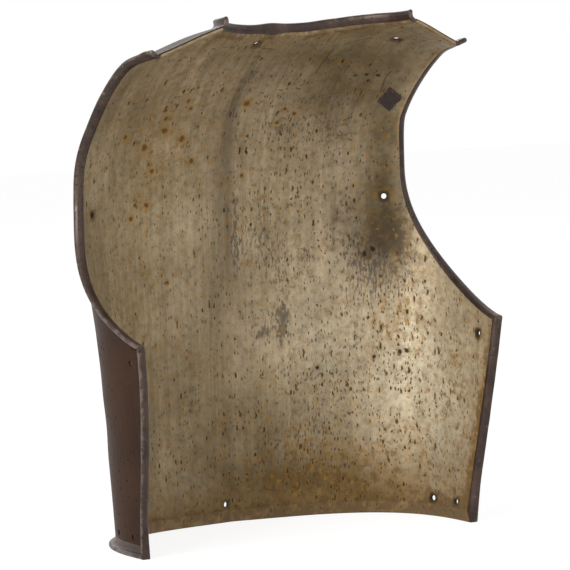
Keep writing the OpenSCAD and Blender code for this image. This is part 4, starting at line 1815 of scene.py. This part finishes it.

        # Streaky violet-grey darkening, strongest where the violet ovals paint the crease's sheen and shade
        dusk = w.noise(w.scaled(sheet, 60.0, 4.0), 1.0, 4.0, 0.65).eased(0.50, 0.68)
        grime = self.lay_bloom(w, solid, 170.0, w.known("grime") * 0.20, 0.62, 0.16)
        strokes = self.lay_bloom(w, w.scaled(sheet, 1.0, 0.34), 460.0, w.known("strokes") * 0.17, 0.63, 0.10)
        stained = rust * 0.26 + (waist + side + w.known("near_neck")) * 0.24 + w.known("rim") * 0.30
        rusty = self.lay_bloom(w, solid, 120.0, stained, 0.66, 0.14)
        # Painted highlight along the right armhole's rim, high up on the wearer's right
        arm_rim_highlight = (w.known("near_arm") + w.noise(solid, 90.0) * 0.3).eased(0.93, 1.05)
        side_band = (side + w.noise(solid, 70.0) * 0.5).eased(0.62, 0.95)
        flocks = w.noise(solid, 45.0, 4.0, 0.65).eased(0.42, 0.62, (0.25, 1.75))
        many = (rust * 0.25 + w.known("pits") * 0.55 + 0.16) * flocks
        flecks = self.lay_specks(w, w.scaled(sheet, 1.0, 0.7), 130.0, 0.27, many + 0.12, 0.0060)
        big = self.lay_specks(w, tall, 150.0, 0.20, many, 0.0036)
        small = self.lay_specks(w, tall, 330.0, 0.27, many + 0.10, 0.0016)
        speck = w.mix(w.math("GREATER_THAN", big["Random"], 0.6), c.pit_brown, c.pit)
        torn = w.scaled(w.ragged(sheet, solid, 0.0034), 1.0, 1.0, 0.0)
        spots, spot_halo = self._marked(w, torn, "spots")
        darks, dark_halo = self._marked(w, torn, "darks")
        scratches, _ = self._marked(w, w.scaled(sheet, 1.0, 1.0, 0.0), "scratches")
        ring = (w.known("rim") + w.noise(solid, 240.0) * 0.35).eased(0.52, 0.84)

        colour = self._ground(w, solid, sheet, streaks)
        # Each coat: where it lies, how strongly it covers there, and its colour
        for mask, share, coat in (
            # The violet coats paint the ridge crease's bluish sheen and shade
            (dusk * (violet * 0.7 + 0.12), 1.0, c.violet),
            (violet, 0.35, c.violet),
            # Pale paints a highlight on the lower right flank
            (w.known("pale") * uneven, 1.0, c.pale),
            ((w.known("olive") * uneven).held(), 0.9, c.olive),
            (strokes["Mask"], 0.72, c.slate),
            # The grime coats also paint the crease's shade near the neck
            (grime["Wide"], 0.45, c.grime),
            (grime["Mask"], 0.6, c.grime),
            ((waist * uneven).held(), 0.65, c.brown),
            (side_band * (sheet_y.eased(0.15, 0.11) * on_right), 0.75, c.ochre),
            (arm_rim_highlight * (sheet_y.eased(0.30, 0.34) * on_right), 0.35, c.rim_highlight_orange),
            (rusty["Wide"], 0.45, c.ochre),
            (rusty["Mask"], 0.5, c.pit_brown),
            (flecks["Mask"], 0.6, c.ochre),
            (flecks["Halo"] * rust, 0.3, c.ochre),
            ((big["Halo"] * (rust + 0.35)).held(), 0.5, c.ochre),
            (big["Mask"], 0.85, speck),
            (small["Mask"], 0.75, c.pit_brown),
            (spot_halo, 0.55, c.ochre),
            (spots, 0.7, c.rust),
            (dark_halo, 0.3, c.brown),
            (darks, 0.9, c.pit),
            (scratches, 0.6, c.pit_brown),
            (ring, 0.8, c.pit_brown),
            (w.known("bore"), 0.6, c.pit),
        ):
            colour = w.mix(mask * share, colour, coat)
        worn = reduce(Value.most, [big["Mask"], small["Mask"], rusty["Wide"] * 0.6, spots, darks, scratches])
        rough = (streaks.eased(0.2, 0.8, (0.40, 0.50)) + worn * 0.3).held()
        return effect.end({"Colour": colour, "Roughness": rough, "Height": streaks * 0.25 - worn})


@dataclass(frozen=True)
class Finish:
    """One material, whose nodes each kind of finish lays in its own way."""

    name: str
    bump: float
    bump_depth: float

    def lay(self, w: Wiring, effects: SharedEffects) -> dict[str, object]:
        """Lays the finish's nodes.

        Args:
            w: The material's wiring.
            effects: The shared node groups.

        Returns:
            The shader's inputs, by name, and the bump's Height.
        """
        raise NotImplementedError

    def build(self, effects: SharedEffects) -> bpy.types.Material:
        """Makes the material.

        Args:
            effects: The shared node groups.

        Returns:
            The material.
        """
        material = bpy.data.materials.new(self.name)
        material.use_nodes = True
        w = Wiring(material.node_tree)
        laid = self.lay(w, effects)
        bump = {"Height": laid.pop("Height"), "Strength": self.bump, "Distance": self.bump_depth}
        laid["Normal"] = w.value("Bump", bump)
        for key, value in laid.items():
            w.feed(material.node_tree.nodes["Principled BSDF"].inputs[key], value)
        return material


@dataclass(frozen=True)
class PlateFinish(Finish):
    """Inside brushed to bare beige steel with rust, outside left in its brown patina."""

    name: str = "plate_brushed_and_patinated"
    bump: float = 0.6
    bump_depth: float = 0.0006
    patina: Colour = (0.027, 0.012, 0.006)
    patina_light: Colour = (0.044, 0.021, 0.011)
    pit: Colour = (0.016, 0.010, 0.007)
    specular: float = 0.04
    inside_metal: float = 0.40

    def lay(self, w: Wiring, effects: SharedEffects) -> dict[str, object]:
        """Lays the outside's patina, and the shared bare steel inside.

        Args:
            w: The material's wiring.
            effects: The shared node groups.

        Returns:
            The shader's inputs, by name, and the bump's Height.
        """
        flat, solid = w.flat(), w.solid()
        inside = w.known("inner").eased(0.4, 0.6)
        bare = w.group(effects.bare_steel, {"Solid": solid})
        cloud = w.noise(solid, 22.0, 5.0, 0.6)
        streaks = effects.lay_brushing(w, flat, 0.5)
        brown = w.mix((cloud * 0.7 + streaks * 0.3).eased(0.38, 0.62), self.patina, self.patina_light)
        pits = effects.lay_specks(w, flat, 160.0, 0.22, 0.35, 0.002)
        brown = w.mix(pits["Mask"] * 0.7, brown, self.pit)
        rough = (cloud.eased(0.3, 0.7, (0.36, 0.48)) + pits["Mask"] * 0.25).held()
        return {
            "Base Color": w.mix(inside, brown, bare["Colour"]),
            "Roughness": w.pick(inside, rough, bare["Roughness"]),
            "Metallic": inside.eased(0.0, 1.0, (0.0, self.inside_metal)),
            "Specular IOR Level": self.specular,
            "Height": w.pick(inside, cloud * 0.5 - pits["Mask"], bare["Height"]),
        }


@dataclass(frozen=True)
class LipFinish(Finish):
    """Dark brown patina of the turned edges, with a painted highlight and wear along their crests, and the
    inside's finish on their roots.
    """

    name: str = "lips_dark_patina"
    bump: float = 0.5
    bump_depth: float = 0.0006
    patina: Colour = (0.032, 0.018, 0.013)
    patina_light: Colour = (0.066, 0.039, 0.028)
    # Light grey-brown of the crests: a painted highlight, partly edge wear
    worn: Colour = (0.200, 0.160, 0.135)
    rust: Colour = (0.120, 0.050, 0.020)
    pit: Colour = (0.014, 0.010, 0.008)

    def lay(self, w: Wiring, effects: SharedEffects) -> dict[str, object]:
        """Lays the lips' patina, and the shared bare steel where it runs on over their roots.

        Args:
            w: The material's wiring.
            effects: The shared node groups.

        Returns:
            The shader's inputs, by name, and the bump's Height.
        """
        flat, solid = w.flat(), w.solid()
        cloud = w.noise(solid, 55.0, 4.0, 0.6)
        turned = w.value("VectorRotate", {"Vector": flat, "Angle": math.pi / 2}, rotation_type="Z_AXIS")
        streaks = effects.lay_brushing(w, turned, 0.6)
        # Painted highlight and wear along the crests and rounded ends
        crest_highlight_and_wear = effects.lay_bloom(w, solid, 130.0, w.known("crest") * 0.22, 0.60, 0.16)
        rusty = effects.lay_bloom(w, solid, 90.0, 0.0, 0.66, 0.10)
        pits = effects.lay_specks(w, flat, 260.0, 0.25, 0.4, 0.0015)
        colour = w.mix(cloud.eased(0.36, 0.68), self.patina, self.patina_light)
        for mask, share, coat in (
            (crest_highlight_and_wear["Mask"], 0.5, self.worn), (rusty["Mask"], 0.4, self.rust), (pits["Mask"], 0.7, self.pit),
        ):
            colour = w.mix(mask * share, colour, coat)
        rough = (cloud.eased(0.3, 0.7, (0.34, 0.46)) + pits["Mask"] * 0.3).held()
        height = streaks * 0.3 + cloud * 0.6 - pits["Mask"]
        bare = w.group(effects.bare_steel, {"Solid": solid})
        torn = (w.noise(solid, 260.0, 4.0, 0.6) - 0.5) * 0.7
        over = (w.known("bare") + torn).eased(0.44, 0.56)
        return {
            "Base Color": w.mix(over, colour, bare["Colour"]),
            "Roughness": w.pick(over, rough, bare["Roughness"]),
            "Metallic": rusty["Wide"].eased(0.0, 1.0, (0.5, 0.2)),
            "Height": w.pick(over, height, bare["Height"]),
        }


@dataclass(frozen=True)
class LeatherFinish(Finish):
    """Old leather gone nearly black, with cracks and rubbed edges."""

    name: str = "leather_old_dark"
    bump: float = 0.5
    bump_depth: float = 0.0003
    dark: Colour = (0.020, 0.011, 0.008)
    brown: Colour = (0.048, 0.027, 0.019)
    rubbed: Colour = (0.095, 0.058, 0.040)

    def lay(self, w: Wiring, effects: SharedEffects) -> dict[str, object]:
        """Lays the leather.

        Args:
            w: The material's wiring.
            effects: The shared node groups.

        Returns:
            The shader's inputs, by name, and the bump's Height.
        """
        solid = w.solid()
        cloud = w.noise(solid, 160.0, 4.0, 0.6)
        rubbed = effects.lay_bloom(w, solid, 300.0, w.known("worn") * 0.18, 0.60, 0.12)
        cracks = w.value("TexVoronoi", {"Vector": solid, "Scale": 700.0}, feature="DISTANCE_TO_EDGE")
        colour = w.mix(cloud.eased(0.35, 0.7), self.dark, self.brown)
        return {
            "Base Color": w.mix(rubbed["Mask"] * 0.6, colour, self.rubbed),
            "Roughness": cloud.eased(0.3, 0.7, (0.62, 0.82)),
            "Height": cracks.eased(0.0, 0.12),
        }


@dataclass(frozen=True)
class Lamp:
    """One soft square lamp: where it stands, in degrees and metres, and how large and strong it is."""

    name: str
    azimuth: float
    elevation: float
    distance: float
    size: float
    watts: float


@dataclass(frozen=True)
class Studio:
    """Pale floor, soft lamps and the camera."""

    azimuth: float = 145.327
    elevation: float = 6.416
    distance: float = 4.0
    lens: float = 301.86
    sensor: float = 36.0
    target: tuple[float, float, float] = (-0.0133, -0.00217, 0.2068)
    ambient: float = 0.50
    floor_half: float = 3.0
    floor_grey: float = 0.9
    floor_rough: float = 0.8
    floor_glow: float = 1.14
    floor_share: float = 0.75
    lamp_aim: tuple[float, float, float] = (0.0, 0.0, 0.2)
    lamps: tuple[Lamp, ...] = (
        Lamp("key_lamp", 108.0, 28.0, 2.0, 0.9, 30.0),
        Lamp("fill_lamp", 185.0, 30.0, 2.2, 1.6, 5.0),
        Lamp("rim_lamp", -20.0, 35.0, 2.2, 1.4, 10.0),
    )

    def build(self) -> None:
        """Makes the stage, the lamps, the world and the camera."""
        self._floor()
        self._world()
        for lamp in self.lamps:
            data = bpy.data.lights.new(lamp.name, "AREA")
            data.energy, data.size = lamp.watts, lamp.size
            made = bpy.data.objects.new(lamp.name, data)
            self._stand(made, self.lamp_aim, lamp.azimuth, lamp.elevation, lamp.distance)
        data = bpy.data.cameras.new("camera")
        data.lens, data.sensor_width = self.lens, self.sensor
        camera = bpy.data.objects.new("camera", data)
        self._stand(camera, self.target, self.azimuth, self.elevation, self.distance)
        bpy.context.scene.camera = camera
        bpy.context.scene.view_settings.view_transform = "Standard"

    def _stand(
        self, made: bpy.types.Object, aim: tuple[float, ...], azimuth: float, elevation: float, distance: float
    ) -> None:
        """Stands a lamp or the camera round the object and turns it to look there.

        Args:
            made: The lamp or camera.
            aim: The place that it looks at, in metres.
            azimuth: Degrees round from the front, to the object's +X side.
            elevation: Degrees above level.
            distance: Metres from that place.
        """
        a, e = math.radians(azimuth), math.radians(elevation)
        away = Vector((math.sin(a) * math.cos(e), -math.cos(a) * math.cos(e), math.sin(e)))
        made.location = Vector(aim) + away * distance
        made.rotation_euler = away.to_track_quat("Z", "Y").to_euler()
        bpy.context.scene.collection.objects.link(made)

    def _floor(self) -> None:
        """Makes the pale floor, which shows nearly white and keeps a faint shadow."""
        mesh = bpy.data.meshes.new("floor")
        h = self.floor_half
        mesh.from_pydata([(-h, -h, 0.0), (h, -h, 0.0), (h, h, 0.0), (-h, h, 0.0)], [], [(0, 1, 2, 3)])
        floor = bpy.data.objects.new("floor", mesh)
        bpy.context.scene.collection.objects.link(floor)
        material = bpy.data.materials.new("floor_pale")
        material.use_nodes = True
        w = Wiring(material.node_tree)
        plain = material.node_tree.nodes["Principled BSDF"]
        w.feed(plain.inputs["Base Color"], (self.floor_grey,) * 3)
        w.feed(plain.inputs["Roughness"], self.floor_rough)
        glow = w.add("Emission", {"Color": WHITE, "Strength": self.floor_glow})
        seen = self._seen(w, "Is Camera Ray", "Is Glossy Ray")
        shaders = {0: seen * self.floor_share, 1: plain.outputs[0], 2: glow.outputs[0]}
        mix = w.value("MixShader", shaders)
        w.feed(material.node_tree.nodes["Material Output"].inputs["Surface"], mix)
        mesh.materials.append(material)

    def _seen(self, w: Wiring, *rays: str) -> Value:
        """Tells whether a ray is of one of some kinds."""
        path = w.add("LightPath")
        return reduce(Value.most, [Value(w, path.outputs[ray]) for ray in rays])

    def _world(self) -> None:
        """Makes soft even light all round, white where the camera sees it."""
        world = bpy.data.worlds.new("studio")
        world.use_nodes = True
        bpy.context.scene.world = world
        w = Wiring(world.node_tree)
        background = world.node_tree.nodes["Background"]
        seen = self._seen(w, "Is Camera Ray", "Is Glossy Ray", "Is Transmission Ray")
        w.feed(background.inputs["Strength"], seen.eased(0.0, 1.0, (self.ambient, 1.0)))
        w.feed(background.inputs["Color"], WHITE)


def fit(piece: bpy.types.Object, node: str) -> None:
    """Sets a piece on the frame in place of its CAD node.

    Args:
        piece: The piece.
        node: The node it stands for.
    """
    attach(piece, "root")
    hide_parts(node)
    LOG.info("%s: %d faces in place of %s", piece.name, len(piece.data.polygons), node)


# Soft ovals of stains and of painted light and shade, by kind: across, up the ridge, half width, half height, in
# millimetres, and strength
STAINS_AND_PAINTED_LIGHT = {
    # Olive darkens the upper right round the right armhole and the waist; its three narrow ovals on the ridge
    # paint the crease's shade
    "olive": (
        (-112, 400, 62, 60, 0.62), (-146, 296, 22, 70, 0.75), (-150, 240, 16, 30, 0.5),
        (-40, 415, 60, 25, 0.3), (110, 430, 40, 40, 0.2), (-30, 470, 70, 30, 0.3), (-20, 30, 150, 34, 0.42),
        (50, 120, 30, 60, 0.15), (-1, 353, 3, 24, 0.4), (-2, 250, 3, 40, 0.5), (3, 300, 12, 110, 0.22),
        (60, 250, 40, 60, 0.14), (-134, 240, 26, 30, 0.36), (-15, 70, 60, 36, 0.42), (-80, 26, 70, 20, 0.6),
    ),
    # Violet on the ridge paints the crease's bluish sheen and shade; beside the right armhole it darkens the
    # plate
    "violet": (
        (-1, 345, 6, 46, 1.0), (-3, 250, 6, 60, 0.9), (4, 300, 22, 120, 0.45), (-14, 392, 14, 26, 0.9),
        (-112, 256, 22, 24, 0.9), (-130, 228, 22, 26, 1.0), (-148, 246, 18, 44, 1.0),
        (-100, 340, 40, 40, 0.35), (30, 180, 50, 90, 0.3),
    ),
    # Grime round the right armhole and in broad clouds; the oval on the ridge near the neck paints the crease's
    # shade
    "grime": (
        (-152, 235, 12, 16, 0.8), (-154, 252, 11, 16, 0.8), (-129, 225, 12, 14, 0.7),
        (-112, 256, 12, 14, 0.5), (-161, 217, 16, 30, 0.7), (-147, 238, 14, 16, 0.7), (-6, 390, 8, 22, 0.6),
        (110, 303, 22, 26, 0.35), (-101, 330, 14, 16, 0.6), (-130, 10, 40, 10, 0.8), (-16, 39, 30, 12, 0.4),
        (44, 108, 9, 30, 0.4), (-60, 300, 80, 110, 0.25), (-120, 150, 60, 60, 0.2),
    ),
    "strokes": (
        (-54, 173, 5, 9, 1.45), (-52, 159, 6, 8, 1.35), (-36, 161, 7, 6, 1.35), (-43, 175, 8, 4, 0.9),
        (-28, 157, 6, 5, 0.9), (-26, 240, 22, 34, 0.8), (-52, 215, 14, 40, 0.7), (-9, 240, 4, 60, 0.9),
        (-77, 222, 8, 18, 0.9), (-60, 330, 50, 50, 0.4), (-130, 232, 34, 34, 0.8), (-140, 200, 30, 26, 0.7),
        (-100, 120, 60, 70, 0.5), (-95, 345, 30, 30, 0.5), (-70, 60, 26, 40, 0.6), (-30, 55, 20, 26, 0.7),
        (-100, 30, 30, 16, 0.8),
    ),
    "rust": (
        (-168, 110, 40, 70, 0.5), (-150, 165, 30, 30, 0.5), (54, 455, 12, 8, 1.0), (-100, 40, 90, 30, 0.6),
        (70, 330, 60, 60, 0.45), (90, 200, 30, 80, 0.3),
    ),
    # Pale paints a highlight on the lower right of the inside
    "pale": (
        (-165, 118, 50, 74, 1.0), (-90, 160, 56, 64, 0.35),
    ),
    "pits": (
        (-29, 240, 16, 26, 0.6), (-100, 215, 30, 40, 0.5), (-110, 60, 80, 70, 0.5),
        (-150, 140, 50, 60, 0.6), (-60, 310, 50, 60, 0.35), (-100, 320, 40, 50, 0.3),
        (-155, 90, 40, 60, 0.45), (-30, 60, 120, 44, 0.55), (-150, 120, 60, 80, 0.3),
    ),
}
# Across, up the ridge and radius, in millimetres, and for a scratch its other end
MARKS = {
    "spots": (
        (-12, 358, 4), (-51, 353, 2.5), (-61, 348, 2.5), (-46, 339, 2.5), (52, 367, 2.5), (47, 359, 2.2),
        (73, 359, 2.4), (70, 350, 2.4), (69, 338, 4), (49, 329, 4), (111, 336, 3), (88, 324, 4),
        (78, 303, 3), (37, 309, 3), (96, 275, 2.2), (84, 274, 3), (101, 264, 3), (-16, 294, 2.5),
        (64, 208, 2.2),
    ),
    "darks": (
        (-130, 222, 3), (-137, 226, 3), (-149, 139, 2.6), (-153, 140, 2.6), (-132, 134, 2.4),
        (-84, 126, 2.2), (-113, 397, 2.2), (-123, 398, 2.4), (-117, 390, 1.8), (-104, 394, 1.8),
    ),
    "scratches": (
        (-68, 425, 0.9, -66, 394), (-131, 407, 1.0, -130, 397), (-130, 397, 1.0, -132, 380),
        (-75, 433, 0.6, -93, 447), (-120, 322, 0.9, -117, 323), (-58, 375, 0.9, -54, 376),
        (-41, 373, 0.8, -38, 374), (-24, 370, 0.8, -21, 370), (-35, 450, 0.8, -31, 451),
        (-109, 502, 0.8, -105, 503), (-13, 421, 0.8, 0, 421),
    ),
}
# How far each armhole lip is still turned at its shoulder end, and how wide it is there
ARM_ENDS = {Side.LEFT: (60.0, 6.5), Side.RIGHT: (42.0, 9.0)}


def main() -> None:
    """Builds every piece in order and reports each."""
    logging.basicConfig(level=logging.INFO, format="%(name)s %(message)s")
    form = PlateForm()
    grid = PlateGrid(form)
    effects = SharedEffects(form, {kind: tuple(Mark(*row) for row in rows) for kind, rows in MARKS.items()})
    plate, lips, leather = (finish.build(effects) for finish in (PlateFinish(), LipFinish(), LeatherFinish()))
    holes = Holes(form)
    weather = Weather(grid, holes, {name: tuple(SoftOval(*row) for row in rows) for name, rows in STAINS_AND_PAINTED_LIGHT.items()})
    fit(BreastShell(grid, holes, weather).build(plate), "breast_shell")
    edges: list[Lip] = [
        NeckLip("neck_turned_edge", "neck_lip", grid, weather, seed=2),
        WaistLip("waist_foot", "waist_lip", grid, weather, end_round=(0.0, 0.0), uneven=0.0),
    ]
    for side in Side:
        word = side.name.lower()
        end_turn, end_flat = ARM_ENDS[side]
        edges.append(ArmholeLip(
            f"{word}_armhole_turned_edge", f"{word}_armhole_lip", grid, weather, end_round=(0.4, 1.6),
            side=side, end_turn=end_turn, end_flat=end_flat, seed=5 + side.value,
        ))
        edges.append(SideLip(
            f"{word}_side_turned_edge", f"{word}_side_lip", grid, weather, end_round=(0.0, 0.4), side=side,
            seed=9 + side.value,
        ))
    for edge in edges:
        fit(edge.build(lips), edge.node)
    fit(InsidePatch(grid).build(leather), "inside_patch")
    Studio().build()


if __name__ == "__main__":
    main()
